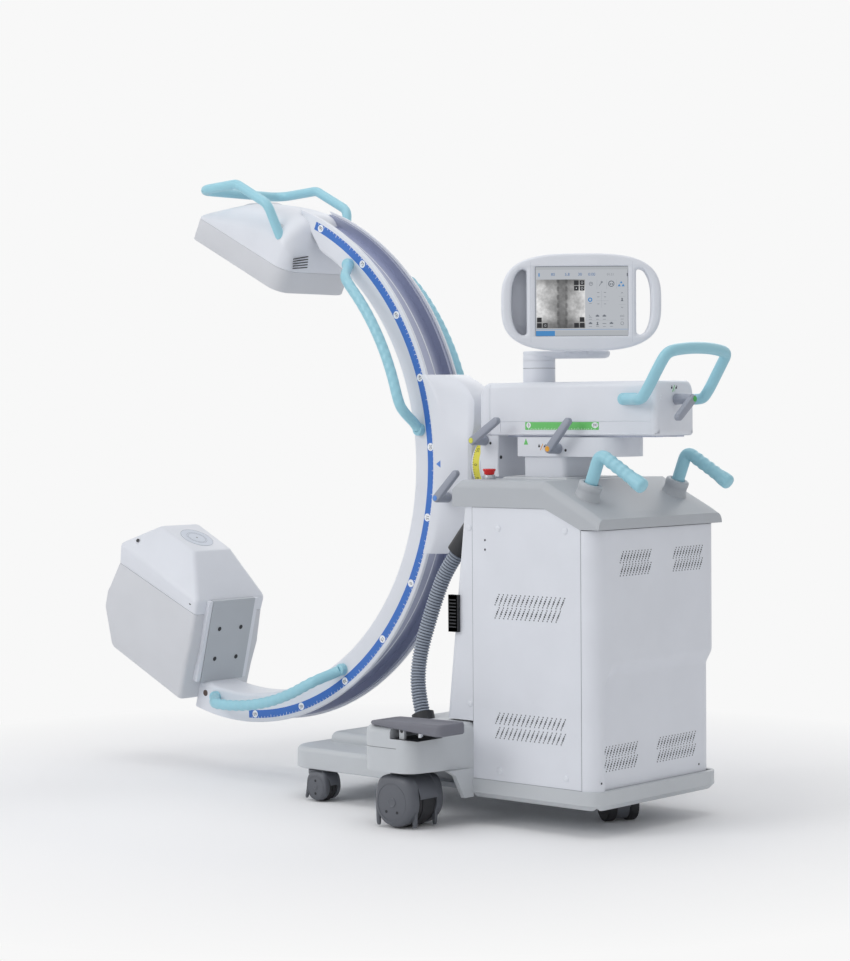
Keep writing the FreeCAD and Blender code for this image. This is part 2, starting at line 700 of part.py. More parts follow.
def build_arm():
    drum_x0 = carriage_back_x + hub_length + hub_to_drum
    drum_x1 = drum_x0 + drum_length
    long_top = lambda a, b: min(a.z, b.z) > arm_top_z - 0.1 and abs(a.y - b.y) < 0.01
    drum = box(drum_x0, drum_x1, -arm_half_width, arm_half_width, drum_bottom_z, arm_top_z)
    drum = fillet_where(drum, arm_edge_r, long_top)
    shaft_start = carriage_back_x + 2 * wall
    drum = drum.fuse(cylinder((shaft_start, 0, axis_z), (1, 0, 0), shaft_r, drum_x0 + wall - shaft_start))
    turn_pivot = (drum_x0 + lever_boss_r + 5.0, arm_bottom_z - lever_boss_r)
    pin_depth = 3 * wall
    drum = drum.cut(cylinder((turn_pivot[0], -arm_half_width, turn_pivot[1]), (0, 1, 0),
                             lever_pin_r + pin_gap, pin_depth))
    save("arm_drum", drum)

    shell = box(drum_x1, shell_end_x, -arm_half_width, arm_half_width, arm_bottom_z, arm_top_z)
    shell = fillet_where(shell, arm_edge_r, long_top)
    shell = shell.cut(box(drum_x1 + wall, shell_end_x, -arm_half_width + wall, arm_half_width - wall,
                          arm_bottom_z + wall, arm_top_z - wall))
    rail_slot = rail_half_width + slide_gap
    shell = shell.cut(box(rail_start_x - wall, shell_end_x, -rail_slot, rail_slot, arm_bottom_z, arm_bottom_z + wall))
    save("arm_shell", shell)

    cap = box(shell_end_x, arm_end_x, -arm_half_width, arm_half_width, arm_bottom_z, arm_top_z)
    cap = fillet_where(cap, arm_edge_r, long_top)
    rear_edges = lambda a, b: min(a.x, b.x) > arm_end_x - 0.1 and abs(a.y - b.y) < 0.01
    cap = fillet_where(cap, 2 * wall, rear_edges)
    cap = cap.cut(box(shell_end_x, arm_end_x - 3 * wall, -arm_half_width + wall, arm_half_width - wall,
                      arm_bottom_z, arm_top_z - wall))
    lever_z = arm_loop_z
    cap = cap.cut(cylinder((arm_end_x - 3 * wall, 0, lever_z), (1, 0, 0), lever_pin_r + pin_gap, 4 * wall))
    save("arm_end_cap", cap)

    rail_bottom = pan_top_z + slide_gap
    rail = box(rail_start_x, arm_end_x - 4 * wall, -rail_half_width, rail_half_width, rail_bottom,
               rail_bottom + rail_height)
    groove_half = rail_half_width / 2
    rail = rail.cut(box(rail_start_x, arm_end_x, -groove_half, groove_half, rail_bottom,
                        rail_bottom + rail_height / 2))
    bridge = box(rail_start_x, shell_end_x - wall, -rail_half_width, rail_half_width,
                 rail_bottom + rail_height, arm_top_z - wall)
    web = wall
    bridge = bridge.cut(box(rail_start_x - 1, shell_end_x, web, arm_half_width, rail_bottom, arm_top_z))
    bridge = bridge.cut(box(rail_start_x - 1, shell_end_x, -arm_half_width, -web, rail_bottom, arm_top_z))
    save("arm_rail", rail.fuse(bridge))

    foot_y = arm_half_width + 1.1 * arm_loop_bar_r
    loop_half = [(arm_loop_foot_x, foot_y, arm_loop_z), (arm_loop_x, arm_loop_half_width, arm_loop_z),
                 (arm_loop_back_x, arm_loop_half_width, arm_loop_top_z)]
    foot = cylinder((arm_loop_foot_x, arm_half_width, arm_loop_z), (0, 1, 0), arm_loop_bar_r * 1.3,
                    foot_y - arm_half_width + 1.1 * arm_loop_bar_r)
    path = [(x, -y, z) for x, y, z in loop_half] + loop_half[::-1]
    foot_bend = 2.4 * arm_loop_bar_r
    loop = bent_bar(path, arm_loop_bar_r, [foot_bend, arm_loop_bend, arm_loop_bend, foot_bend])
    save("arm_handle", loop.fuse(foot).fuse(mirror_y(foot)))

    save("lever_rotation", lever(turn_pivot, arm_half_width, rotation_boss, rotation_rise, pin_depth - wall))
    boss = cylinder((arm_end_x + slide_gap, 0, lever_z), (1, 0, 0), lever_boss_r, travel_boss)
    pin = cylinder((arm_end_x + slide_gap, 0, lever_z), (-1, 0, 0), lever_pin_r, 2 * wall)
    down = polar(1.0, travel_fall)
    bar_x = arm_end_x + slide_gap + travel_boss - 1.3 * lever_bar_r
    bar = cylinder((bar_x, 0, lever_z), (0, -down[0], -down[1]), lever_bar_r, travel_length)
    save("lever_travel", boss.fuse(pin).fuse(bar))

    collar = cylinder((post_x, 0, arm_top_z), (0, 0, 1), post_r, post_top_z - arm_top_z)
    pin_top = post_top_z + 6 * wall
    save("monitor_post", collar.fuse(cylinder((post_x, 0, post_top_z), (0, 0, 1), post_pin_r, pin_top - post_top_z)))


def build_pan_and_lift():
    outline = box(pan_front_x, pan_end_x, -arm_half_width, arm_half_width, pan_bottom_z, pan_top_z)
    rear = lambda a, b: upright(a, b) and a.x > pan_end_x - 1
    front = lambda a, b: upright(a, b) and a.x < pan_front_x + 1
    head = fillet_where(outline, pan_end_r, rear)
    head = fillet_where(head, 3 * wall, front)
    head = head.cut(cylinder((column_x, 0, pan_bottom_z), (0, 0, 1), pan_pin_r + pin_gap, pan_pin_length + slide_gap))
    tongue_half = rail_half_width / 2 - slide_gap
    tongue_top = pan_top_z + rail_height / 2 - slide_gap
    tongue_end = arm_end_x - arm_travel - 4 * wall
    head = head.fuse(box(pan_front_x + 3 * wall, tongue_end, -tongue_half, tongue_half, pan_top_z, tongue_top))
    pivot = (pan_lever_x, pan_bottom_z + pan_lever_height)
    pin_depth = 3 * wall
    head = head.cut(cylinder((pivot[0], -arm_half_width, pivot[1]), (0, 1, 0), lever_pin_r + pin_gap, pin_depth))
    save("pan_head", head)
    save("lever_pan", lever(pivot, arm_half_width, pan_boss, pan_rise, pin_depth - wall))

    top = pan_bottom_z - slide_gap
    column = box(column_x - column_half_x, column_x + column_half_x, -column_half_y, column_half_y,
                 column_bottom_z, top)
    column = fillet_where(column, 2 * column_wall, upright)
    column = column.cut(box(column_x - column_half_x + column_wall, column_x + column_half_x - column_wall,
                            -column_half_y + column_wall, column_half_y - column_wall,
                            column_bottom_z, top - 2 * column_wall))
    column = column.fuse(cylinder((column_x, 0, top - column_wall), (0, 0, 1), pan_pin_r,
                                  column_wall + pan_pin_length))
    rod = cylinder((column_x, 0, lift_rod_bottom_z), (0, 0, 1), lift_rod_r, top - column_wall - lift_rod_bottom_z)
    save("lift_column", column.fuse(rod))

    inner_x = column_half_x + slide_gap
    inner_y = column_half_y + slide_gap
    guide = box(column_x - inner_x - guide_wall, column_x + inner_x + guide_wall, -inner_y - guide_wall,
                inner_y + guide_wall, frame_plate_z1, guide_top_z)
    inner = box(column_x - inner_x, column_x + inner_x, -inner_y, inner_y, frame_plate_z1, guide_top_z)
    inner = fillet_where(inner, 2 * column_wall - slide_gap, upright)
    save("column_guide", guide.cut(inner))
    housing = cylinder((column_x, 0, frame_plate_z1), (0, 0, 1), lift_housing_r, lift_housing_top_z - frame_plate_z1)
    bore_bottom = lift_rod_bottom_z - wall
    housing = housing.cut(cylinder((column_x, 0, bore_bottom), (0, 0, 1), lift_rod_r + pin_gap, lift_housing_top_z))
    save("lift_actuator", housing)


def facing(shape):
    """Turn the monitor and its link from their own frame to the user, about the post."""
    placed = shape.copy()
    placed.rotate(V(0, 0, 0), V(0, 0, 1), monitor_yaw)
    placed.translate(V(post_x, 0, 0))
    return placed


def build_monitor():
    base_z = post_top_z + slide_gap
    base_top = base_z + 5 * wall
    link = cylinder((0, 0, base_z), (0, 0, 1), post_r, base_top - base_z)
    fork_y = -monitor_front + monitor_thick + tilt_axis_back
    bar = box(0, monitor_offset + link_half_width + link_cheek, fork_y - link_half_width, link_half_width + 2 * wall,
              base_z + wall, base_top - wall)
    link = link.fuse(bar)
    cheek_x = link_half_width + side_play
    for x0 in (monitor_offset - cheek_x - link_cheek, monitor_offset + cheek_x):
        cheek = box(x0, x0 + link_cheek, fork_y - 2.5 * wall, fork_y + 2.5 * wall, base_z + wall,
                    tilt_axis_z + 3 * wall)
        link = link.fuse(cheek)
    link = link.fuse(cylinder((monitor_offset - cheek_x - link_cheek, fork_y, tilt_axis_z), (1, 0, 0),
                              tilt_pin_r, 2 * (cheek_x + link_cheek)))
    link = link.cut(cylinder((0, 0, base_z), (0, 0, 1), post_pin_r + pin_gap, base_top))
    save("monitor_arm", facing(link))

    half_w = monitor_width / 2
    low_z = monitor_z - monitor_height / 2
    high_z = monitor_z + monitor_height / 2
    case = box(monitor_offset - half_w, monitor_offset + half_w, -monitor_front, -monitor_front + monitor_thick,
               low_z, high_z)
    corners = lambda a, b: abs(a.x - b.x) < 0.01 and abs(a.z - b.z) < 0.01
    case = fillet_where(case, monitor_corner_r, corners)
    for side in (-1, 1):
        x = monitor_offset + side * slot_offset
        slot = box(x - slot_width / 2, x + slot_width / 2, -monitor_front - 1, -monitor_front + monitor_thick + 1,
                   monitor_z - slot_height / 2, monitor_z + slot_height / 2)
        case = case.cut(fillet_where(slot, slot_width / 3, corners))
    screen_y = -monitor_front + screen_inset
    pocket = box(monitor_offset - screen_width / 2, monitor_offset + screen_width / 2, -monitor_front - 1,
                 screen_y + screen_thick, monitor_z - screen_height / 2, monitor_z + screen_height / 2)
    case = case.cut(pocket)
    back_y = -monitor_front + monitor_thick
    lug = box(monitor_offset - link_half_width, monitor_offset + link_half_width, back_y,
              fork_y + 2.5 * wall, tilt_axis_z - 3 * wall, tilt_axis_z + 3 * wall)
    lug = lug.cut(cylinder((monitor_offset - half_w, fork_y, tilt_axis_z), (1, 0, 0), tilt_pin_r + pin_gap,
                           monitor_width))
    half_body = slot_offset - slot_width / 2
    body_zone = box(monitor_offset - half_body, monitor_offset + half_body, -monitor_front - 1, back_y + 1, low_z, high_z)
    grips = case.cut(body_zone).Solids
    save("monitor_housing", facing(Part.makeCompound([case.common(body_zone).fuse(lug)] + grips)))
    save("screen", facing(box(monitor_offset - screen_width / 2, monitor_offset + screen_width / 2, screen_y,
                              screen_y + screen_thick, monitor_z - screen_height / 2, monitor_z + screen_height / 2)))


def cabinet_side(y0, y1):
    return prism_y(((cabinet_front_x, panel_low_z), (cabinet_rear_x, panel_low_z), (cabinet_rear_x, panel_rear_top_z),
                    (panel_slope_x, panel_top_z), (cabinet_front_x, panel_top_z)), y0, y1)


def build_cabinet():
    for name, sign in near_far:
        panel = cabinet_side(cabinet_half_width - panel_thick, cabinet_half_width)
        save("side_panel_" + name, panel if sign > 0 else mirror_y(panel))
    top_cap_z = panel_top_z - cap_top_drop
    side_cap_x = (cabinet_front_x + cap_inset, cabinet_rear_x - cap_rear_inset)
    cap_places = [(x, z) for x in side_cap_x for z in (top_cap_z, panel_low_z + cap_low_rise)]
    cap_places += [(cabinet_front_x - cap_front_inset, z) for z in (top_cap_z, front_low_z + cap_front_rise)]
    caps = [cylinder((x, cabinet_half_width, z), (0, 1, 0), cap_r, cap_height) for x, z in cap_places]
    save("panel_caps", Part.makeCompound(caps + [mirror_y(c) for c in caps]))

    def front_solid(inset):
        half = cabinet_half_width - inset
        body = prism_y(((cabinet_front_x, front_low_z), (front_low_x + inset, front_low_z),
                        (front_top_x + inset, panel_top_z), (cabinet_front_x, panel_top_z)), -half, half)
        leading = lambda a, b: abs(a.z - b.z) > wall and max(a.x, b.x) < cabinet_front_x - 1
        return fillet_where(body, min(front_corner_r, cabinet_front_x - front_top_x - 1) - inset, leading)

    save("front_cover", front_solid(0.0).cut(front_solid(wall)))

    def rear_solid(inset):
        half = cabinet_half_width - inset
        body = box(cabinet_rear_x, rear_cover_x - inset, -half, half, panel_low_z, rear_cover_top_z - inset)
        rear = lambda a, b: upright(a, b) and a.x > cabinet_rear_x + 1
        return fillet_where(body, rear_corner_r - inset, rear)

    save("rear_cover", rear_solid(0.0).cut(rear_solid(wall)))

    skirt_half = cabinet_half_width + skirt_out
    skirt = box(cabinet_front_x, skirt_rear_x, -skirt_half, skirt_half, skirt_low_z, panel_low_z)
    rear = lambda a, b: upright(a, b) and a.x > skirt_rear_x - 1
    skirt = fillet_where(skirt, rear_corner_r, rear)
    low = [e for e in skirt.Edges if max(v.Z for v in e.Vertexes) < skirt_low_z + 0.1
           and min(v.X for v in e.Vertexes) > cabinet_front_x - 1 and max(v.X for v in e.Vertexes) > cabinet_front_x + 1]
    skirt = skirt.makeChamfer(skirt_chamfer, low)
    core = box(cabinet_front_x, skirt_rear_x - skirt_wall, -skirt_half + skirt_wall, skirt_half - skirt_wall,
               skirt_low_z, panel_low_z)
    gusset_top_z = shoulder_low_z - slide_gap
    gusset = prism_x(((cabinet_half_width, skirt_low_z), (cabinet_half_width + gusset_foot, skirt_low_z),
                      (gusset_half_width - gusset_slope, gusset_slope_z), (gusset_half_width, gusset_top_z),
                      (cabinet_half_width, gusset_top_z)), cabinet_front_x - gusset_thick, cabinet_front_x)
    save("base_skirt", skirt.cut(core).fuse(gusset).fuse(mirror_y(gusset)))

    def top_solid(inset):
        half = top_half_width - inset
        low = panel_top_z - 2 * inset
        rear_low = panel_rear_top_z - 2 * inset
        points = ((top_front_x + inset, low), (top_front_x + inset, top_crease_z),
                  (top_flat_front_x, top_z - inset), (top_flat_rear_x, top_z - inset),
                  (top_slope_x, top_slope_z - inset), (top_rear_x - inset, top_rear_z - inset),
                  (top_rear_x - inset, rear_low), (cabinet_rear_x, rear_low), (panel_slope_x, low))
        body = prism_y(points, -half, half)
        over = lambda a, b: (abs(abs(a.y) - half) < 0.01 and abs(a.y - b.y) < 0.01
                             and min(a.x, b.x) > top_front_x + inset + 1 and min(a.z, b.z) > top_slope_z - inset - 1)
        edges = [e for e in body.Edges if over(e.Vertexes[0].Point, e.Vertexes[1].Point)]
        return body.makeFillet(top_edge - inset, edges)

    top = top_solid(0.0).cut(top_solid(wall))
    opening_x = column_half_x + wall
    opening_y = column_half_y + wall
    top = top.cut(box(column_x - opening_x, column_x + opening_x, -opening_y, opening_y, panel_top_z, top_z + 1))
    bars = []
    sockets = []
    for sign in (-1, 1):
        path = [(x, sign * push_y, z) for x, z in (push_base, push_apex, push_end)]
        bars.append(bent_bar(path, push_bar_r, [push_bend]))
        rise = V(*path[1]) - V(*path[0])
        sockets.append(cylinder(path[0], (rise.x, rise.y, rise.z), push_socket_r, push_socket_height))
    for bar, socket in zip(bars, sockets):
        inside = top_solid(wall)
        top = top.fuse(socket.cut(inside)).cut(bar)
    collar = cylinder((estop_x, estop_y, top_z - wall), (0, 0, 1), estop_collar_r, wall + estop_collar_height)
    top = top.fuse(collar)
    top = top.cut(cylinder((estop_x, estop_y, top_z - 2 * wall), (0, 0, 1), estop_stem_r + pin_gap,
                           2 * wall + estop_collar_height))
    save("top_cover", top)
    save("push_handles", Part.makeCompound(bars))

    head_z = top_z + estop_collar_height + 6.0
    button = cylinder((estop_x, estop_y, head_z), (0, 0, 1), estop_r, estop_top_z - head_z)
    save("estop_button", button.fuse(cylinder((estop_x, estop_y, top_z - wall), (0, 0, 1), estop_stem_r,
                                              head_z - top_z + wall)))
    save("generator_unit", box(generator_x0, cabinet_rear_x - wall, -generator_half_width, generator_half_width,
                               frame_plate_z1, generator_top_z))


def build_base():
    half = nose_half_width - wall
    plate = box(nose_x + wall, cabinet_front_x, -half, half, frame_plate_z0, frame_plate_z1)
    plate = fillet_where(plate, nose_corner_r - wall, lambda a, b: upright(a, b) and a.x < nose_x + 2 * wall)
    half = cabinet_half_width + skirt_out - skirt_wall
    plate = plate.fuse(box(cabinet_front_x, skirt_rear_x - skirt_wall, -half, half, frame_plate_z0, frame_plate_z1))
    beam = box(beam_x0, beam_x1, -beam_half_width, beam_half_width, beam_low_z, beam_low_z + beam_height)
    posts_half = nose_half_width - 8 * wall
    post = box(beam_x0, beam_x1, posts_half - 8 * wall, posts_half, frame_plate_z1, beam_low_z)
    frame = plate.fuse(beam).fuse(post).fuse(mirror_y(post))
    stem_hole = caster_stem_r + pin_gap
    for sign in (-1, 1):
        frame = frame.cut(cylinder((main_swivel_x, sign * main_swivel_y, beam_low_z - 1), (0, 0, 1), stem_hole,
                                   beam_height - wall))
        frame = frame.cut(cylinder((front_swivel_x, sign * front_swivel_y, frame_plate_z0 - 1), (0, 0, 1),
                                   stem_hole, 2 * beam_height))
    frame = frame.cut(cylinder((rear_swivel_x, 0, frame_plate_z0 - 1), (0, 0, 1), stem_hole, frame_plate_z1))
    save("base_frame", frame)

    def nose_solid(inset):
        half = nose_half_width - inset
        slab = box(nose_x + inset, shoulder_front_x, -half, half, nose_low_z, nose_top_z - inset)
        slab = fillet_where(slab, nose_corner_r - inset, lambda a, b: upright(a, b) and a.x < nose_x + inset + 1)
        slab = round_top(slab, nose_edge_r - inset, shoulder_front_x)
        hump_half = hump_half_width - inset
        hump = box(hump_x + inset, shoulder_front_x, -hump_half, hump_half, nose_low_z, nose_top_z + hump_height - inset)
        hump = fillet_where(hump, hump_height - inset, lambda a, b: upright(a, b) and a.x < hump_x + inset + 1)
        hump = round_top(hump, hump_edge_r - inset, shoulder_front_x)
        return slab.fuse(hump)

    save("nose_cover", nose_solid(0).cut(nose_solid(wall)))

    def shoulder_solid(inset):
        x0 = shoulder_front_x + inset
        x1 = shoulder_rear_x - inset
        far = shoulder_half_width - inset
        near = cabinet_half_width - inset
        x2 = cabinet_front_x - inset
        outline = ((x0, -far), (x1, -far), (x2, -near), (x2, near), (x1, far), (x0, far))
        body = prism_z(outline, shoulder_low_z, shoulder_top_z - inset)
        outer = lambda a, b: upright(a, b) and abs(a.y) > far - 1
        body = fillet_where(body, shoulder_corner_r - inset, outer)
        return round_top(body, shoulder_edge_r - inset, x2)

    floor_z = shoulder_top_z - notch_depth
    axis_height = shoulder_top_z - pedal_axis_drop
    beyond = cabinet_front_x + 1
    reach = notch_half_width + wall
    pin_half = pedal_lug_half_width + side_play + pedal_ear_thick
    tray = box(notch_front_x - wall, beyond, -pedal_y - reach, -pedal_y + reach, floor_z - wall, shoulder_top_z)
    shoulder = shoulder_solid(0).cut(shoulder_solid(wall).cut(tray))
    shoulder = shoulder.cut(box(notch_front_x, beyond, -pedal_y - notch_half_width, -pedal_y + notch_half_width,
                                floor_z, shoulder_top_z + 1))
    for side in (-1, 1):
        ear_y = -pedal_y + side * (pin_half - pedal_ear_thick / 2)
        ear = box(pedal_axis_x - pedal_lug_r, pedal_axis_x + pedal_lug_r, ear_y - pedal_ear_thick / 2,
                  ear_y + pedal_ear_thick / 2, floor_z, shoulder_top_z - 1)
        shoulder = shoulder.fuse(ear)
    shoulder = shoulder.cut(cylinder((pedal_axis_x, -pedal_y - pin_half, axis_height), (0, 1, 0),
                                     pedal_pin_r + pin_gap, 2 * pin_half))
    shoulder = shoulder.cut(box(shoulder_front_x - 1, beyond, 0, shoulder_half_width + 1, 0, shoulder_top_z + 1))
    shoulder = shoulder.fuse(mirror_y(shoulder)).removeSplitter()
    save("shoulder_cover", shoulder)

    pins = []
    for name, sign in near_far:
        y = sign * pedal_y
        plate_low = shoulder_top_z + slide_gap
        pedal = box(pedal_x0, pedal_x1, y - pedal_half_width, y + pedal_half_width, plate_low, pedal_top_z)
        pedal = fillet_where(pedal, 3 * wall, upright)
        lug = cylinder((pedal_axis_x, y - pedal_lug_half_width, axis_height), (0, 1, 0), pedal_lug_r,
                       2 * pedal_lug_half_width)
        neck = box(pedal_axis_x - pedal_lug_r, pedal_axis_x + pedal_lug_r, y - pedal_lug_half_width,
                   y + pedal_lug_half_width, axis_height, plate_low)
        pedal = pedal.fuse(lug).fuse(neck)
        pedal = pedal.cut(cylinder((pedal_axis_x, y - pedal_half_width, axis_height), (0, 1, 0),
                                   pedal_pin_r + pin_gap, 2 * pedal_half_width))
        save("pedal_" + name, pedal)
        pins.append(cylinder((pedal_axis_x, y - pin_half, axis_height), (0, 1, 0), pedal_pin_r, 2 * pin_half))
    save("pedal_pins", Part.makeCompound(pins))


def hooded_caster(swivel, trail, wheel_r, wheel_width, width, top_z, stem_top):
    """A caster with a wheel between two round cheeks and a hood over it."""
    x = swivel[0] + trail
    y = swivel[1]
    cavity_r = wheel_r + 1.5
    hood_r = min(top_z - wheel_r, cavity_r + wall)
    cheek_r = wheel_r - wall
    half = width / 2
    hood = cylinder((x, y - half, wheel_r), (0, 1, 0), hood_r, width)
    hood = hood.cut(box(x - 2 * hood_r, x + 2 * hood_r, y - width, y + width, -hood_r, wheel_r + wall))
    hood = hood.fuse(cylinder((x, y - half, wheel_r), (0, 1, 0), cheek_r, width))
    hood = hood.fuse(cylinder((swivel[0], y, wheel_r), (0, 0, 1), caster_stem_r, stem_top - wheel_r))
    room = wheel_width / 2 + side_play
    hood = hood.cut(cylinder((x, y - room, wheel_r), (0, 1, 0), cavity_r, 2 * room))
    hood = hood.fuse(cylinder((x, y - half, wheel_r), (0, 1, 0), caster_axle_r, width))
    wheel = cylinder((x, y - wheel_width / 2, wheel_r), (0, 1, 0), wheel_r, wheel_width)
    wheel = wheel.makeFillet(wall, [e for e in wheel.Edges if len(e.Vertexes) == 1])
    wheel = wheel.cut(cylinder((x, y - wheel_width, wheel_r), (0, 1, 0), caster_axle_r + pin_gap, 2 * wheel_width))
    return hood, wheel


def build_casters():
    for name, sign in near_far:
        fork, wheel = hooded_caster((main_swivel_x, sign * main_swivel_y), main_trail, main_wheel_r,
                                    main_wheel_width, main_width, beam_low_z - wall, beam_low_z + beam_height - 2 * wall)
        save("main_fork_" + name, fork)
        save("main_wheel_" + name, wheel)
        fork, wheel = hooded_caster((front_swivel_x, sign * front_swivel_y), front_trail, front_wheel_r,
                                    front_wheel_width, front_width, frame_plate_z0 - 2.0, frame_plate_z1 - slide_gap)
        save("front_fork_" + name, fork)
        save("front_wheel_" + name, wheel)
    x = rear_swivel_x - rear_trail
    half = rear_width / 2
    body_half = half - rear_wheel_width - side_play
    body = cylinder((x, -body_half, rear_wheel_r), (0, 1, 0), rear_wheel_r - wall, 2 * body_half)
    body = body.fuse(box(x, rear_swivel_x + caster_stem_r, -body_half, body_half, rear_wheel_r, frame_plate_z0 - 3.0))
    body = body.fuse(cylinder((rear_swivel_x, 0, rear_wheel_r), (0, 0, 1), caster_stem_r,
                              frame_plate_z1 - slide_gap - rear_wheel_r))
    body = body.fuse(cylinder((x, -half, rear_wheel_r), (0, 1, 0), caster_axle_r, rear_width))
    wheels = []
    for y in (-half, half - rear_wheel_width):
        disc = cylinder((x, y, rear_wheel_r), (0, 1, 0), rear_wheel_r, rear_wheel_width)
        disc = disc.makeFillet(wall, [e for e in disc.Edges if len(e.Vertexes) == 1])
        wheels.append(disc.cut(cylinder((x, y - 1, rear_wheel_r), (0, 1, 0), caster_axle_r + pin_gap,
                                        rear_wheel_width + 2)))
    twin = Part.makeCompound(wheels)
    for shape in (body, twin):
        shape.rotate(V(rear_swivel_x, 0, 0), V(0, 0, 1), rear_yaw)
    save("rear_fork", body)
    save("rear_wheels", twin)


def build_hose():
    """The free cable hose, from the gland on the base to the gland on the front cover."""
    radii = []
    turns = []
    corners = [V(*p) for p in hose_points]
    for before, at, after in zip(corners, corners[1:], corners[2:]):
        into = at - before
        out = after - at
        turn = into.getAngle(out)
        turns.append(math.degrees(turn))
        radii.append(0.45 * min(into.Length, out.Length) / math.tan(turn / 2))
    print("hose radii", [round(r) for r in radii], "turns", [round(t, 1) for t in turns])
    path = bent_path(hose_points, radii)
    hose = bent_bar(hose_points, hose_r, radii)
    print("hose length", round(path.Length), "volume error", hose.Volume / (math.pi * hose_r ** 2 * path.Length) - 1)
    low, high = corners[0], corners[-1]
    low_axis = (corners[1] - low).normalize()
    high_axis = (high - corners[-2]).normalize()
    foot = Part.makeCylinder(gland_r, 2 * gland_height, low - low_axis * 2 * gland_height, low_axis)
    above = box(low.x - 2 * gland_r, low.x + 2 * gland_r, low.y - 2 * gland_r, low.y + 2 * gland_r,
                shoulder_top_z, low.z + 3 * gland_height)
    head = Part.makeCylinder(gland_r, 6 * gland_height, high, high_axis)
    rise = (front_top_x - front_low_x) / (panel_top_z - front_low_z)
    top_x = front_low_x + rise * (panel_top_z - front_low_z)
    before_cover = prism_y(((0.0, front_low_z), (front_low_x, front_low_z), (top_x, panel_top_z), (0.0, panel_top_z)),
                           high.y - 2 * gland_r, high.y + 2 * gland_r)
    socket = box(connector_x0, connector_x1, -cabinet_half_width - connector_depth, -cabinet_half_width,
                 connector_z0, connector_z1)
    save("hose_glands", Part.makeCompound([foot.common(above), head.common(before_cover), socket]))
    save("hose", hose)


build_c()
build_carriage()
build_arm()
build_pan_and_lift()
build_monitor()
build_cabinet()
build_base()
build_casters()
build_hose()
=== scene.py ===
import math

import bmesh
import bpy
from mathutils import Matrix, Vector
from mathutils.geometry import tessellate_polygon


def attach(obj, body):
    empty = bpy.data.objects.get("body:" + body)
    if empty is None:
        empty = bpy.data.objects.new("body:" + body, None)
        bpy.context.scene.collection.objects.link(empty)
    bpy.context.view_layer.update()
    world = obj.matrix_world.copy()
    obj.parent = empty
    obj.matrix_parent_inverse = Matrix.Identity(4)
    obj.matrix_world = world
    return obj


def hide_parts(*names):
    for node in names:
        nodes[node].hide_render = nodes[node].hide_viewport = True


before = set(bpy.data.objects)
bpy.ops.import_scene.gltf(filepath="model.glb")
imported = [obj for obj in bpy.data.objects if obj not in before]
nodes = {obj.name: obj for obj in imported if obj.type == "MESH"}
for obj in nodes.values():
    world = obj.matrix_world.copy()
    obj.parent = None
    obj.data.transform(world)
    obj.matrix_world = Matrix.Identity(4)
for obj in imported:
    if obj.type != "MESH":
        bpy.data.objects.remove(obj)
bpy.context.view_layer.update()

scene = bpy.context.scene

# Studio: a pale seamless floor, soft lamps on each side and above, and the camera that stands where
# the photograph was taken. Camera and gloss rays see a white surround and a softer fill lights the
# stand, so the picture's ground stays pale while the stand keeps its own shading.


def linear(code):
    """An sRGB hex colour as linear values."""
    parts = [int(code[i:i + 2], 16) / 255 for i in (1, 3, 5)]
    return [c / 12.92 if c <= 0.04045 else ((c + 0.055) / 1.055) ** 2.4 for c in parts] + [1.0]


def add_node(tree, kind, links=(), **settings):
    """Add a node, set its properties and sockets, and link other nodes' sockets into it."""
    node = tree.nodes.new(kind)
    for key, value in settings.items():
        if hasattr(node, key):
            setattr(node, key, value)
        else:
            node.inputs[key.replace("_", " ")].default_value = value
    for target, source in links:
        tree.links.new(source, node.inputs[target])
    return node


def empty_material(name):
    """A material with a bare node tree."""
    material = bpy.data.materials.new(name)
    material.use_nodes = True
    material.node_tree.nodes.clear()
    return material, material.node_tree


def white_to_camera(tree, lit, white):
    """Show the white shader to the camera, to gloss and through glass, and the lit one to the rest."""
    rays = add_node(tree, "ShaderNodeLightPath")
    gloss = add_node(tree, "ShaderNodeMath", operation="MAXIMUM",
                     links=[(0, rays.outputs["Is Camera Ray"]), (1, rays.outputs["Is Glossy Ray"])])
    seen = add_node(tree, "ShaderNodeMath", operation="MAXIMUM",
                    links=[(0, gloss.outputs[0]), (1, rays.outputs["Is Transmission Ray"])])
    return add_node(tree, "ShaderNodeMixShader", [(0, seen.outputs[0]), (1, lit.outputs[0]),
                                                  (2, white.outputs[0])])


scene.view_settings.view_transform = "Standard"
world = bpy.data.worlds.new("studio_air")
scene.world = world
world.use_nodes = True
tree = world.node_tree
tree.nodes.clear()
fill = add_node(tree, "ShaderNodeBackground", Color=linear("#F5F6F8"), Strength=0.60)
white = add_node(tree, "ShaderNodeBackground", Color=linear("#F8F8F8"), Strength=1.0)
add_node(tree, "ShaderNodeOutputWorld", [("Surface", white_to_camera(tree, fill, white).outputs[0])])

floor_mesh = bpy.data.meshes.new("studio_floor")
floor_mesh.from_pydata([(-30, -30, 0), (30, -30, 0), (30, 30, 0), (-30, 30, 0)], [], [(0, 1, 2, 3)])
floor = bpy.data.objects.new("studio_floor", floor_mesh)
scene.collection.objects.link(floor)
paper, tree = empty_material("seamless_paper")
place = add_node(tree, "ShaderNodeTexCoord")
distance = add_node(tree, "ShaderNodeVectorMath", [(0, place.outputs["Object"])], operation="LENGTH")
near = add_node(tree, "ShaderNodeMapRange", [("Value", distance.outputs["Value"])])
near.inputs["From Min"].default_value = 1.0
near.inputs["From Max"].default_value = 1.9
diffuse = add_node(tree, "ShaderNodeBsdfDiffuse", Color=linear("#FAFAFB"))
glow = add_node(tree, "ShaderNodeEmission", Color=linear("#F8F8F8"), Strength=1.0)
rays = add_node(tree, "ShaderNodeLightPath")
far = add_node(tree, "ShaderNodeMath", [(0, near.outputs[0]), (1, rays.outputs["Is Camera Ray"])],
               operation="MULTIPLY")
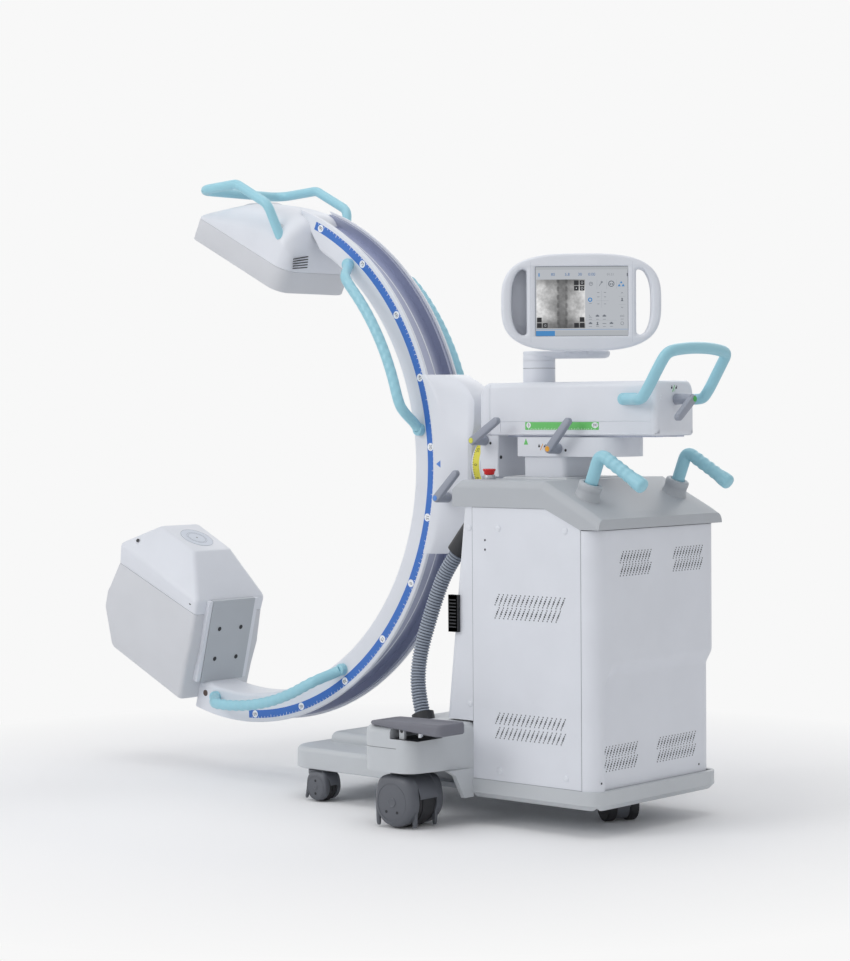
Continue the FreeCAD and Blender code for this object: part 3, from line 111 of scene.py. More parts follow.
ground = add_node(tree, "ShaderNodeMixShader", [(0, far.outputs[0]), (1, diffuse.outputs[0]),
                                                (2, glow.outputs[0])])
add_node(tree, "ShaderNodeOutputMaterial", [("Surface", ground.outputs[0])])
floor_mesh.materials.append(paper)

lamps = (("key_left", (-1.6, -4.8, 3.4), 2.6, 78.0), ("fill_right", (4.6, -1.0, 2.4), 3.0, 3.0),
         ("top_soft", (0.3, -0.4, 4.6), 3.4, 42.0), ("back_rim", (-1.5, 4.2, 3.2), 3.0, 30.0))
for name, lamp_place, size, power in lamps:
    lamp = bpy.data.lights.new(name, "AREA")
    lamp.size = size
    lamp.energy = power
    lamp_object = bpy.data.objects.new(name, lamp)
    aim = Vector((0.1, 0, 0.7)) - Vector(lamp_place)
    lamp_object.matrix_world = Matrix.Translation(lamp_place) @ aim.to_track_quat(
        "-Z", "Y").to_matrix().to_4x4()
    scene.collection.objects.link(lamp_object)

datum_x = 0.10457
camera_place = Vector((4.0493 + datum_x, -4.5565, 0.980))
camera_turn = math.radians(41.627)
camera_dip = math.radians(1.689)
camera_roll = math.radians(-0.400)
focal_px = 2410.1
frame_height_px = 961
look = Vector((-math.sin(camera_turn) * math.cos(camera_dip), math.cos(camera_turn) * math.cos(camera_dip),
               -math.sin(camera_dip)))
right = Vector((math.cos(camera_turn), math.sin(camera_turn), 0))
up = right.cross(look)
rolled_right = right * math.cos(camera_roll) + up * math.sin(camera_roll)
rolled_up = up * math.cos(camera_roll) - right * math.sin(camera_roll)
lens = bpy.data.cameras.new("camera")
lens.sensor_width = 36.0
lens.lens = focal_px / frame_height_px * lens.sensor_width
lens.clip_end = 60
camera = bpy.data.objects.new("camera", lens)
turned = Matrix((rolled_right, rolled_up, -look)).transposed().to_4x4()
camera.matrix_world = Matrix.Translation(camera_place) @ turned
scene.collection.objects.link(camera)
scene.camera = camera

# Cable hose: corrugated polyamide tube with the lift cables in it. It is pushed into the gland on the
# base, stands up in front of the cabinet and ends in the slanted gland on the front cover. Moulded
# ribs 7.3 mm apart, each crest with a painted highlight and painted shade in the grooves between them.


def mesh_object(name, build):
    """An object whose mesh a builder function fills."""
    shape = bmesh.new()
    build(shape)
    bmesh.ops.recalc_face_normals(shape, faces=shape.faces)
    mesh = bpy.data.meshes.new(name)
    shape.to_mesh(mesh)
    shape.free()
    made = bpy.data.objects.new(name, mesh)
    scene.collection.objects.link(made)
    return made


def add_tube(shape, path, section_at, sides, first_normal=Vector((0, 1, 0))):
    """Sweep an oval along a list of points. section_at gives its two half widths at each point."""
    rings = []
    normal = first_normal
    for i, point in enumerate(path):
        tangent = (path[min(i + 1, len(path) - 1)] - path[max(i - 1, 0)]).normalized()
        normal = (normal - tangent * normal.dot(tangent)).normalized()
        side = tangent.cross(normal)
        wide, high = section_at(i)
        angles = [2 * math.pi * k / sides for k in range(sides)]
        rings.append([shape.verts.new(point + normal * math.cos(a) * wide + side * math.sin(a) * high)
                      for a in angles])
    for low, high in zip(rings, rings[1:]):
        for k in range(sides):
            shape.faces.new((low[k], low[(k + 1) % sides], high[(k + 1) % sides], high[k]))
    shape.faces.new(rings[0][::-1])
    shape.faces.new(rings[-1])


def smooth(made, angle=0.6):
    """Smooth shading that keeps corners sharper than the angle."""
    for polygon in made.data.polygons:
        polygon.use_smooth = True
    made.data.set_sharp_from_angle(angle=angle)
    return made


def finish_piece(made, material, body, stands_for=(), angle=0.6):
    """Shade a piece, give it its material and body, and hide the CAD nodes it stands for."""
    smooth(made, angle)
    if not made.data.materials:
        made.data.materials.append(material)
    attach(made, body)
    if stands_for:
        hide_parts(*stands_for)
    return made


def even_points(points, spacing):
    """Points at even distances along a line of points."""
    total = sum((b - a).length for a, b in zip(points, points[1:]))
    count = max(2, round(total / spacing))
    step = total / count
    result = [points[0].copy()]
    done = 0.0
    for a, b in zip(points, points[1:]):
        span = (b - a).length
        while len(result) < count and done + span >= len(result) * step - 1e-9:
            result.append(a.lerp(b, (len(result) * step - done) / span))
        done += span
    return result + [points[-1].copy()]


def spline_points(control, resolution=24):
    """The points of a smooth spline that starts and ends at its outer control points."""
    route = bpy.data.curves.new("route", "CURVE")
    route.dimensions = "3D"
    spline = route.splines.new("NURBS")
    spline.points.add(len(control) - 1)
    for point, at in zip(spline.points, control):
        point.co = (*at, 1)
    spline.order_u = 3
    spline.use_endpoint_u = True
    route.resolution_u = resolution
    carrier = bpy.data.objects.new("route", route)
    line = bpy.data.meshes.new_from_object(carrier)
    points = [v.co.copy() for v in line.vertices]
    bpy.data.objects.remove(carrier)
    bpy.data.meshes.remove(line)
    return points


hose_route_mm = ((205, -245, 250), (188, -240, 292), (178, -231, 347), (181, -220, 407), (197, -210, 471),
                 (216, -200, 538), (238, -192, 594), (268, -185, 636))
hose_radius = 0.019
rib_pitch = 0.0073
rib_samples = 6
rib_depth = 0.0034
hose_spine = spline_points([(x / 1000 + datum_x, y / 1000, z / 1000) for x, y, z in hose_route_mm])
hose_path = even_points(hose_spine, rib_pitch / rib_samples)


def rib_section(i):
    """A rib has a rounded crest and a narrow groove on each side."""
    wave = 0.5 + 0.5 * math.cos(2 * math.pi * i / rib_samples)
    radius = hose_radius - rib_depth * wave ** 2
    return radius, radius


hose = mesh_object("cable_hose", lambda shape: add_tube(shape, hose_path, rib_section, 40))
polyamide, tree = empty_material("corrugated_polyamide_painted_rib_light")
geometry = add_node(tree, "ShaderNodeNewGeometry")
# Painted light: this ramp on pointiness paints shade dark into the grooves and a pale highlight on each
# crest.
crest = add_node(tree, "ShaderNodeValToRGB", [(0, geometry.outputs["Pointiness"])])
crest.color_ramp.elements[0].position = 0.44
crest.color_ramp.elements[0].color = linear("#353B47")
crest.color_ramp.elements[1].position = 0.53
crest.color_ramp.elements[1].color = linear("#98A1AF")
shader = add_node(tree, "ShaderNodeBsdfPrincipled", [("Base Color", crest.outputs[0])], Roughness=0.45)
add_node(tree, "ShaderNodeOutputMaterial", [("Surface", shader.outputs[0])])
finish_piece(hose, polyamide, "chassis", ["hose"], 3.0)

# Covers and coats: thick ABS shells, sprayed with a satin two-part lacquer whose very fine orange
# peel softens every highlight. The nylon coat of the handles, the levers and the casters have the
# grain of their moulds. Each colour carries a faint cloud from handling and cleaning.


def moulded(name, code, roughness, grain_mm, depth_mm, mottle=0.04):
    """Moulded or sprayed plastic: an even colour with a faint cloud and a fine surface grain."""
    material, tree = empty_material(name)
    place = add_node(tree, "ShaderNodeTexCoord")
    cloud = add_node(tree, "ShaderNodeTexNoise", [("Vector", place.outputs["Object"])], Scale=9.0, Detail=3.0)
    base = linear(code)
    tint = add_node(tree, "ShaderNodeValToRGB", [(0, cloud.outputs[0])])
    tint.color_ramp.elements[0].position = 0.3
    tint.color_ramp.elements[0].color = [c * (1 - mottle) for c in base[:3]] + [1]
    tint.color_ramp.elements[1].position = 0.7
    tint.color_ramp.elements[1].color = base
    rough = add_node(tree, "ShaderNodeMapRange", [("Value", cloud.outputs[0])])
    rough.inputs["To Min"].default_value = roughness - 0.05
    rough.inputs["To Max"].default_value = roughness + 0.05
    grain = add_node(tree, "ShaderNodeTexNoise", [("Vector", place.outputs["Object"])],
                     Scale=1000.0 / grain_mm, Detail=2.0)
    bump = add_node(tree, "ShaderNodeBump", [("Height", grain.outputs[0])], Strength=0.3,
                    Distance=depth_mm / 1000)
    shader = add_node(tree, "ShaderNodeBsdfPrincipled",
                      [("Base Color", tint.outputs[0]), ("Roughness", rough.outputs[0]),
                       ("Normal", bump.outputs[0])])
    add_node(tree, "ShaderNodeOutputMaterial", [("Surface", shader.outputs[0])])
    return material


def dress(material, *names):
    """Give CAD pieces a material."""
    for name in names:
        nodes[name].data.materials.clear()
        nodes[name].data.materials.append(material)


white_lacquer = moulded("satin_white_lacquer_on_abs", "#E2E5EC", 0.4, 1.6, 0.04)
dress(white_lacquer, "side_panel_left", "side_panel_right", "front_cover", "arm_end_cap", "tank_cover",
      "tank_housing", "pan_head", "yoke_hub", "monitor_post", "monitor_arm", "lift_column", "arm_drum")
base_lacquer = moulded("satin_grey_lacquer_on_abs", "#C6CACE", 0.42, 1.6, 0.05)
dress(base_lacquer, "nose_cover", "shoulder_cover", "base_skirt")
grey_abs = moulded("grey_grained_abs", "#B7BBC0", 0.48, 1.1, 0.08)
dress(grey_abs, "top_cover")
plate_grey = moulded("grey_powder_coat_on_steel", "#B9BEC4", 0.5, 0.8, 0.06)
dress(plate_grey, "tank_bracket", "base_frame")
handle_coat = moulded("pale_blue_nylon_coat", "#9CD0DF", 0.36, 1.4, 0.05)
lever_nylon = moulded("grey_glass_filled_nylon", "#9A9FAC", 0.42, 0.9, 0.06)
caster_nylon = moulded("dark_grey_caster_nylon", "#5F6269", 0.46, 1.0, 0.08)
dress(caster_nylon, "rear_fork")
tread = moulded("dark_polyurethane_tread", "#222327", 0.6, 1.2, 0.1)
dress(tread, "main_wheel_left", "main_wheel_right", "front_wheel_left", "front_wheel_right", "rear_wheels")
pedal_rubber = moulded("grained_grey_pedal_rubber", "#74757E", 0.6, 1.2, 0.12)
estop_red = moulded("glossy_red_polyamide", "#D81A1C", 0.22, 2.0, 0.01)
black_nylon_and_painted_shade = moulded("black_nylon_and_painted_shade", "#212328", 0.5, 0.9, 0.06)
dress(black_nylon_and_painted_shade, "hose_glands", "guide_blocks", "pedal_pins")


def metal(name, code, roughness, streak):
    """Metal drawn or rolled along one direction, with fine streaks across its gloss."""
    material, tree = empty_material(name)
    place = add_node(tree, "ShaderNodeTexCoord")
    stretch = add_node(tree, "ShaderNodeMapping", [("Vector", place.outputs["Object"])], Scale=streak)
    lines = add_node(tree, "ShaderNodeTexNoise", [("Vector", stretch.outputs[0])], Scale=40.0, Detail=4.0)
    rough = add_node(tree, "ShaderNodeMapRange", [("Value", lines.outputs[0])])
    rough.inputs["To Min"].default_value = roughness - 0.08
    rough.inputs["To Max"].default_value = roughness + 0.1
    shader = add_node(tree, "ShaderNodeBsdfPrincipled", [("Roughness", rough.outputs[0])],
                      Base_Color=linear(code), Metallic=1.0)
    add_node(tree, "ShaderNodeOutputMaterial", [("Surface", shader.outputs[0])])
    return material


anodised = metal("clear_anodised_aluminium", "#B4B9CA", 0.34, (1.0, 14.0, 1.0))
dress(anodised, "column_guide", "carriage_frame", "arm_rail", "lift_actuator", "generator_unit",
      "detector_sensor", "xray_tube_insert")

# C beam: a rolled aluminium beam with rounded inner corners, sprayed white, with an anodised liner
# pressed into the track in its outer side. The liner's lanes guide the carriage's blocks, and its
# upper end is cut on a slant under the detector cover.

c_centre = Vector((-0.602 + datum_x, 0, 0.844))
c_tilt = math.radians(26.4)
beam_inner, beam_outer, beam_half = 620.0, 698.0, 60.0
low_angle, end_inner, end_outer = -79.4, 87.4, 97.6


def on_c(x, y, z):
    """A point of the C's own frame, in millimetres from its centre, in metres at rest."""
    x, z = x / 1000, z / 1000
    return c_centre + Vector((x * math.cos(c_tilt) + z * math.sin(c_tilt), y / 1000,
                              z * math.cos(c_tilt) - x * math.sin(c_tilt)))


def round_c(radius, angle, y):
    """The same from a radius, a scale reading in degrees and Y."""
    a = math.radians(angle)
    return on_c(radius * math.cos(a), y, radius * math.sin(a))


def add_ring_bar(shape, outline, start, end_at, steps):
    """Sweep an outline of radius and Y round the C, up to an angle that may depend on the radius."""
    rings = []
    for i in range(steps + 1):
        rings.append([shape.verts.new(round_c(r, start + (end_at(r) - start) * i / steps, y))
                      for r, y in outline])
    count = len(outline)
    for low, high in zip(rings, rings[1:]):
        for k in range(count):
            shape.faces.new((low[k], low[(k + 1) % count], high[(k + 1) % count], high[k]))
    shape.faces.new(rings[0][::-1])
    shape.faces.new(rings[-1])


def corner(r, y, radius, start):
    """A quarter round of an outline, from the start angle on."""
    turns = [math.radians(start + 90 * k / 5) for k in range(6)]
    return [(r + radius * math.cos(a), y + radius * math.sin(a)) for a in turns]


def beam_end(radius):
    """The reading at which the slanted upper end cuts a radius."""
    return end_inner + (end_outer - end_inner) * (radius - beam_inner) / (beam_outer - beam_inner)


inner_round, outer_round = 11.0, 3.0
groove_half, groove_floor, track_half, track_floor = 52.0, 692.0, 40.0, 672.0
right_side = corner(beam_outer - outer_round, beam_half - outer_round, outer_round, 0)
left_side = [(r, -y) for r, y in right_side[::-1]]
inner_right = [(beam_inner + inner_round - inner_round * math.sin(a), beam_half - inner_round
                + inner_round * math.cos(a)) for a in (math.pi / 2 * k / 6 for k in range(7))]
inner_left = [(r, -y) for r, y in inner_right[::-1]]
beam_outline = (right_side + inner_right + inner_left + left_side
                + [(beam_outer, -groove_half), (groove_floor, -groove_half), (groove_floor, -track_half),
                   (track_floor, -track_half), (track_floor, track_half), (groove_floor, track_half),
                   (groove_floor, groove_half), (beam_outer, groove_half)])
beam = mesh_object("c_beam", lambda shape: add_ring_bar(shape, beam_outline, low_angle, beam_end, 170))
finish_piece(beam, white_lacquer, "c", ["c_arc"], 0.5)

liner_top = [(groove_floor, -groove_half), (groove_floor, -track_half), (track_floor, -track_half),
             (track_floor, -24), (track_floor - 2.4, -23), (track_floor - 2.4, -20), (track_floor, -19),
             (track_floor, 4), (track_floor - 2.4, 5), (track_floor - 2.4, 8), (track_floor, 9),
             (track_floor, track_half), (groove_floor, track_half), (groove_floor, groove_half)]
liner_skin = 0.2
liner_outline = ([(r + liner_skin, y * 0.997) for r, y in liner_top]
                 + [(r - liner_skin, y * 1.003) for r, y in liner_top[::-1]])
liner = mesh_object("c_track_liner", lambda shape: add_ring_bar(shape, liner_outline, low_angle + 0.4,
                                                           lambda r: beam_end(r) - 0.3, 170))
track_metal = metal("drawn_anodised_track", "#A3A8BC", 0.36, (3.0, 60.0, 3.0))
finish_piece(liner, track_metal, "c", (), 0.4)

# Scale on the C: a blue polyester film on the near side with a white tick at every degree, a longer
# one every five, and a round white field with the reading every fifteen. The ticks are printed and
# stand 0.1 mm proud of the film.


def flat_ink(name, code, roughness=0.45):
    """Printed ink on film: its colour thins a little in fine cells."""
    material, tree = empty_material(name)
    place = add_node(tree, "ShaderNodeTexCoord")
    cells = add_node(tree, "ShaderNodeTexNoise", [("Vector", place.outputs["Object"])], Scale=900.0)
    base = linear(code)
    tint = add_node(tree, "ShaderNodeValToRGB", [(0, cells.outputs[0])])
    tint.color_ramp.elements[0].color = [c * 0.94 for c in base[:3]] + [1]
    tint.color_ramp.elements[1].color = base
    shader = add_node(tree, "ShaderNodeBsdfPrincipled", [("Base Color", tint.outputs[0])],
                      Roughness=roughness)
    add_node(tree, "ShaderNodeOutputMaterial", [("Surface", shader.outputs[0])])
    return material


def repeated(name, part, places, material, body, stands_for=()):
    """Copies of one small mesh: a point for each, its axes kept as attributes, set by geometry nodes."""
    cloud = bpy.data.meshes.new(name)
    cloud.from_pydata([tuple(matrix.translation) for matrix in places], [], [])
    turn = cloud.attributes.new("turn", "FLOAT_VECTOR", "POINT")
    size = cloud.attributes.new("size", "FLOAT_VECTOR", "POINT")
    for i, matrix in enumerate(places):
        turn.data[i].vector = matrix.to_euler()
        size.data[i].vector = matrix.to_scale()
    carrier = bpy.data.objects.new(name + "_points", cloud)
    scene.collection.objects.link(carrier)
    tree = bpy.data.node_groups.new(name, "GeometryNodeTree")
    sockets = {}
    for label, kind in (("Geometry", "NodeSocketGeometry"), ("Part", "NodeSocketObject"),
                        ("Finish", "NodeSocketMaterial")):
        sockets[label] = tree.interface.new_socket(label, in_out="INPUT", socket_type=kind)
    tree.interface.new_socket("Geometry", in_out="OUTPUT", socket_type="NodeSocketGeometry")
    given = add_node(tree, "NodeGroupInput")
    part_info = add_node(tree, "GeometryNodeObjectInfo", [("Object", given.outputs["Part"])])
    turn_in = add_node(tree, "GeometryNodeInputNamedAttribute", data_type="FLOAT_VECTOR", Name="turn")
    size_in = add_node(tree, "GeometryNodeInputNamedAttribute", data_type="FLOAT_VECTOR", Name="size")
    rotation = add_node(tree, "FunctionNodeEulerToRotation", [("Euler", turn_in.outputs["Attribute"])])
    copies = add_node(tree, "GeometryNodeInstanceOnPoints",
                      [("Points", given.outputs["Geometry"]), ("Instance", part_info.outputs["Geometry"]),
                       ("Rotation", rotation.outputs[0]), ("Scale", size_in.outputs["Attribute"])])
    real = add_node(tree, "GeometryNodeRealizeInstances", [("Geometry", copies.outputs[0])])
    finish = add_node(tree, "GeometryNodeSetMaterial",
                      [("Geometry", real.outputs[0]), ("Material", given.outputs["Finish"])])
    add_node(tree, "NodeGroupOutput", [("Geometry", finish.outputs[0])])
    modifier = carrier.modifiers.new("copies", "NODES")
    modifier.node_group = tree
    modifier[sockets["Part"].identifier] = part
    modifier[sockets["Finish"].identifier] = material
    graph = bpy.context.evaluated_depsgraph_get()
    mesh = bpy.data.meshes.new_from_object(carrier.evaluated_get(graph), depsgraph=graph)
    for label in ("turn", "size"):
        if label in mesh.attributes:
            mesh.attributes.remove(mesh.attributes[label])
    made = bpy.data.objects.new(name, mesh)
    scene.collection.objects.link(made)
    bpy.data.objects.remove(carrier)
    bpy.data.objects.remove(part)
    return finish_piece(made, material, body, stands_for)


def add_block(shape, matrix, x, y, z):
    """A block of these sizes round the matrix's origin."""
    bmesh.ops.create_cube(shape, size=1.0, matrix=matrix @ Matrix.Diagonal((x, y, z, 1)))


def add_disc(shape, matrix, radius, height, sides=40, top=None):
    """A round block on the matrix's Z axis, its foot at the origin. top is its upper radius."""
    bmesh.ops.create_cone(shape, cap_ends=True, segments=sides, radius1=radius,
                          radius2=radius if top is None else top, depth=height,
                          matrix=matrix @ Matrix.Translation((0, 0, height / 2)))


def frame_at(origin, x_axis, z_axis):
    """A matrix from an origin, a direction for X and an outward normal for Z."""
    z = Vector(z_axis).normalized()
    x = Vector(x_axis)
    x = (x - z * x.dot(z)).normalized()
    return Matrix.Translation(origin) @ Matrix((x, z.cross(x), z)).transposed().to_4x4()


def words(name, text, size, matrix, thickness=0.00006):
    """Printed characters, as a thin mesh centred on the matrix's origin."""
    curve = bpy.data.curves.new(name, "FONT")
    curve.body = text
    curve.size = size
    curve.align_x = "CENTER"
    curve.align_y = "CENTER"
    curve.extrude = thickness
    curve.resolution_u = 3
    carrier = bpy.data.objects.new(name, curve)
    scene.collection.objects.link(carrier)
    graph = bpy.context.evaluated_depsgraph_get()
    mesh = bpy.data.meshes.new_from_object(carrier.evaluated_get(graph), depsgraph=graph)
    bpy.data.objects.remove(carrier)
    mesh.transform(matrix)
    return mesh


def joined(name, meshes):
    """Several meshes as one object."""
    shape = bmesh.new()
    for mesh in meshes:
        shape.from_mesh(mesh)
        bpy.data.meshes.remove(mesh)
    made_mesh = bpy.data.meshes.new(name)
    shape.to_mesh(made_mesh)
    shape.free()
    made = bpy.data.objects.new(name, made_mesh)
    scene.collection.objects.link(made)
    return made


scale_blue = flat_ink("blue_scale_ink", "#3B73C6")
print_white = flat_ink("white_print", "#F4F6FA")
print_dark = flat_ink("dark_print", "#2B2E38")
scale_r, scale_half, film = 676.0, 10.5, 0.25
band_outline = [(scale_r - scale_half, -beam_half + 0.1), (scale_r + scale_half, -beam_half + 0.1),
                (scale_r + scale_half, -beam_half - film), (scale_r - scale_half, -beam_half - film)]
band = mesh_object("c_scale_band", lambda shape: add_ring_bar(shape, band_outline, -62.0, lambda r: 91.8,
                                                              154))
finish_piece(band, scale_blue, "c")


def on_scale(radius, angle, proud):
    """A frame on the scale: X runs round the C, Y points outward from its centre, Z to the operator."""
    at = round_c(radius, angle, -beam_half - proud)
    around = round_c(radius, angle - 1, 0) - round_c(radius, angle, 0)
    return frame_at(at, around, (0, -1, 0))


tick = mesh_object("tick", lambda shape: add_block(shape, Matrix(), 0.0011, 0.001, 0.0002))
tick_places = []
for reading in range(-61, 92):
    if reading % 15:
        length = 7.5 if reading % 5 == 0 else 4.2
        matrix = on_scale(scale_r + scale_half - length / 2, reading, film)
        tick_places.append(matrix @ Matrix.Diagonal((1, length, 1, 1)))
repeated("c_scale_ticks", tick, tick_places, print_white, "c")
field = mesh_object("field", lambda shape: add_disc(shape, Matrix(), 0.0098, 0.0002))
readings = range(-60, 91, 15)
repeated("c_scale_fields", field, [on_scale(scale_r, reading, film) for reading in readings], print_white,
         "c")
digits = joined("c_scale_readings", [words("reading", str(abs(reading)), 0.0125,
                                           on_scale(scale_r, reading, film + 0.25))
                                     for reading in readings])
finish_piece(digits, print_dark, "c")

# C handles: steel bars in a soft pale blue nylon coat, one pair on each side. Each end is a round pad
# screwed to the side of the beam, and the inside of the grip has shallow waves for the fingers.

handle_r = 648.0
handle_out = 128.0
pad_r, pad_height = 15.5, 17.0


def add_round_pad(shape, matrix, radius, height, edge):
    """A pad with a rounded rim and a recessed screw ring."""
    steps = [(radius, 0.0), (radius, height - edge), (radius - edge * 0.3, height - edge * 0.3),
             (radius - edge, height), (radius * 0.42, height), (radius * 0.38, height - 1.0),
             (radius * 0.28, height - 1.0), (radius * 0.24, height + 0.3)]
    rings = []
    sides = 32
    for r, h in steps:
        rings.append([shape.verts.new(matrix @ Vector((r / 1000 * math.cos(a), r / 1000 * math.sin(a),
                                                       h / 1000))) for a in (2 * math.pi * k / sides
                                                                             for k in range(sides))])
    for low, high in zip(rings, rings[1:]):
        for k in range(sides):
            shape.faces.new((low[k], low[(k + 1) % sides], high[(k + 1) % sides], high[k]))
    shape.faces.new(rings[0][::-1])
    shape.faces.new(rings[-1])


def add_c_handle(shape, high, low, side):
    """One handle between two readings, on the side given by its sign."""
    foot = 5.4
    control = [round_c(handle_r, high, side * (beam_half + 10)),
               round_c(handle_r, high - 0.9, side * (beam_half + 12)),
               round_c(handle_r, high - foot * 0.75, side * (handle_out - 12)),
               round_c(handle_r, high - foot * 1.15, side * handle_out)]
    runs = 5
    span = high - low - 2.3 * foot
    control += [round_c(handle_r, high - foot * 1.15 - span * i / runs, side * handle_out)
                for i in range(1, runs)]
    control += [round_c(handle_r, low + foot * 1.15, side * handle_out),
                round_c(handle_r, low + foot * 0.75, side * (handle_out - 12)),
                round_c(handle_r, low + 0.9, side * (beam_half + 12)),
                round_c(handle_r, low, side * (beam_half + 10))]
    path = even_points(spline_points(control, 12), 0.004)
    count = len(path)

    def section(i):
        along = i / (count - 1)
        grip = max(0.0, min(1.0, (0.42 - abs(along - 0.5)) / 0.06))
        wave = 0.0009 * grip * math.cos(2 * math.pi * i * 0.004 / 0.024)
        return 0.0122 + wave, 0.0138 - wave
    add_tube(shape, path, section, 28, Vector((0, side, 0)))
    for reading in (high, low):
        base = round_c(handle_r, reading, side * beam_half)
        matrix = frame_at(base, round_c(handle_r, reading - 1, 0) - round_c(handle_r, reading, 0),
                          (0, side, 0))
        add_round_pad(shape, matrix, pad_r, pad_height, 6.0)


def fill_c_handles(shape):
    for side in (-1, 1):
        add_c_handle(shape, 78.0, 34.0, side)
        add_c_handle(shape, -29.0, -73.0, side)


finish_piece(mesh_object("c_grips", fill_c_handles), handle_coat, "c", ["c_handles"])

# Image detector: a flat tray with a tight outer and a wide inner corner, and a crowned cover that
# rises towards the C and wraps its sides. Two screw caps, a small raised port near the outer end
# and five black slots in the end face by the beam.


def add_loft(shape, rings):
    """Join rings of points with faces, and close both ends."""
    made = [[shape.verts.new(point) for point in ring] for ring in rings]
    count = len(made[0])
    for low, high in zip(made, made[1:]):
        for k in range(count):
            shape.faces.new((low[k], low[(k + 1) % count], high[(k + 1) % count], high[k]))
    shape.faces.new(made[0][::-1])
    shape.faces.new(made[-1])


def round_plan(x0, x1, half, r0, r1, steps=7):
    """A rectangle in X and Y with round corners, r0 at its low X end and r1 at the other."""
    points = []
    for x, y, radius, start in ((x1 - r1, half - r1, r1, 0), (x0 + r0, half - r0, r0, 90),
                                (x0 + r0, -half + r0, r0, 180), (x1 - r1, -half + r1, r1, 270)):
        for k in range(steps + 1):
            a = math.radians(start + 90 * k / steps)
            points.append((x + radius * math.cos(a), y + radius * math.sin(a)))
    return points


def eased(stations, x):
    """The value at a distance, on straight lines between rows of distance and value."""
    for (xa, a), (xb, b) in zip(stations, stations[1:]):
        if x <= xb:
            t = (x - xa) / (xb - xa)
            return a + (b - a) * t
    return stations[-1][1]


tray_outer, tray_inner, tray_half = -360.0, -5.0, 134.0
tray_low, tray_seam = 488.0, 549.0
tray_levels = ((tray_low, 3.5), (tray_low + 1.2, 1.2), (tray_low + 3.5, 0.0), (tray_seam - 0.8, 0.0),
               (tray_seam - 0.4, 0.8))
tray = mesh_object("detector_tray_shell",
                   lambda shape: add_loft(shape,
                                          [[on_c(x, y, z) for x, y in round_plan(tray_outer + inset,
                                                                                 tray_inner - inset,
                                                                                 tray_half - inset,
                                                                                 9 - inset, 44 - inset)]
                                           for z, inset in tray_levels]))
tray_grey = moulded("satin_pale_grey_lacquer", "#D3D5DA", 0.42, 1.6, 0.04)
finish_piece(tray, tray_grey, "c", ["detector_tray"])

dome_sides = ((0, 4), (70, 13), (131, 28), (212, 50), (285, 62), (312, 60), (332, 52), (347, 40), (353, 30),
              (355, 20))
dome_ridges = ((0, 14), (5, 26), (14, 37), (70, 76), (131, 103), (212, 128), (270, 140), (290, 141),
               (312, 136), (330, 122), (344, 98), (352, 72), (355, 50))
dome_stops = [355 * k / 70 for k in range(71)]


def softened(stations, x, reach):
    """The mean of a few values round x, so that the joints between rows don't show as folds."""
    picks = [max(0, min(355, x + reach * k / 4)) for k in range(-4, 5)]
    return sum(eased(stations, pick) for pick in picks) / len(picks)


def dome_ring(distance):
    """One cross-section of the crowned cover."""
    x = tray_outer + distance
    reach = min(20.0, distance, 355 - distance)
    side = softened(dome_sides, distance, reach)
    ridge = softened(dome_ridges, distance, reach)
    half = tray_half
    for radius, gap in ((9.0, distance), (44.0, 355 - distance)):
        if gap < radius:
            half = min(half, tray_half - radius + math.sqrt(radius * radius - (radius - gap) ** 2))
    ring = [on_c(x, -half, tray_seam), on_c(x, -half, tray_seam + side * 0.5)]
    for k in range(29):
        v = -math.cos(math.pi * k / 28)
        ring.append(on_c(x, half * v, tray_seam + side + (ridge - side) * (1 - abs(v) ** 2.3) ** 0.62))
    return ring + [on_c(x, half, tray_seam + side * 0.5), on_c(x, half, tray_seam)]


dome = mesh_object("detector_dome", lambda shape: add_loft(shape, [dome_ring(d) for d in dome_stops]))
finish_piece(dome, white_lacquer, "c", ["detector_cover"], 0.9)
dress(handle_coat, "detector_handle")

port = mesh_object("detector_port",
                   lambda shape: add_loft(shape,
                                          [[on_c(-350 + d, y, z - drop)
                                            for y, z in ((-26, 596), (-20, 640), (-14, 652), (14, 652),
                                                         (20, 640), (26, 596))] for d, drop in ((0, 62),
                                                                                                (18, 48),
                                                                                                (34, 36),
                                                                                                (74, 16),
                                                                                                (104, 2),
                                                                                                (121, 0))]))
finish_piece(port, tray_grey, "c")
port_slot = mesh_object("detector_port_slot",
                        lambda shape: add_block(shape, frame_at(on_c(-262, -20.6, 634), (1, 0, 0),
                                                                (0, -1, 0)), 0.004, 0.014, 0.002))
finish_piece(port_slot, black_nylon_and_painted_shade, "c")


def c_axes(at, out):
    """A frame at a point of the C's frame whose Z follows a direction in it."""
    return frame_at(on_c(*at), on_c(1, 0, 0) - on_c(0, 0, 0), on_c(*out) - on_c(0, 0, 0))


cap = mesh_object("cap", lambda shape: add_disc(shape, Matrix(), 0.0075, 0.002, 28, 0.0066))
repeated("detector_caps", cap, [c_axes((-337, -60, 562.5), (-0.25, -0.5, 1)),
                                c_axes((-82, -118, 644), (0.1, -0.9, 0.8))], tray_grey, "c")
end_slot = mesh_object("slot", lambda shape: add_block(shape, Matrix(), 0.052, 0.0024, 0.0012))
repeated("detector_end_slots", end_slot, [frame_at(on_c(-5.0 + 0.5, -82 - 2.4 * i, 562 + 7.0 * i),
                                                   on_c(0, 1, 0.10 + 0.02 * i) - on_c(0, 0, 0),
                                                   on_c(1, 0, 0) - on_c(0, 0, 0)) for i in range(5)],
         black_nylon_and_painted_shade, "c")

# Tube housing: a deep lower shell with a soft fold along its sides, a hipped cover with a level top,
# and in that top a round radiolucent window with two fine printed rings. Dark countersunk screws
# hold the cover, and a powder coated plate bolts the housing to the beam.


def leaning_ring(left, right, half, radius):
    """A round cornered ring of the C's frame whose height changes evenly from its left to its right end."""
    (x0, z0), (x1, z1) = left, right
    return [on_c(x, y, z0 + (z1 - z0) * (x - x0) / (x1 - x0))
            for x, y in round_plan(x0, x1, half, radius, radius, 5)]


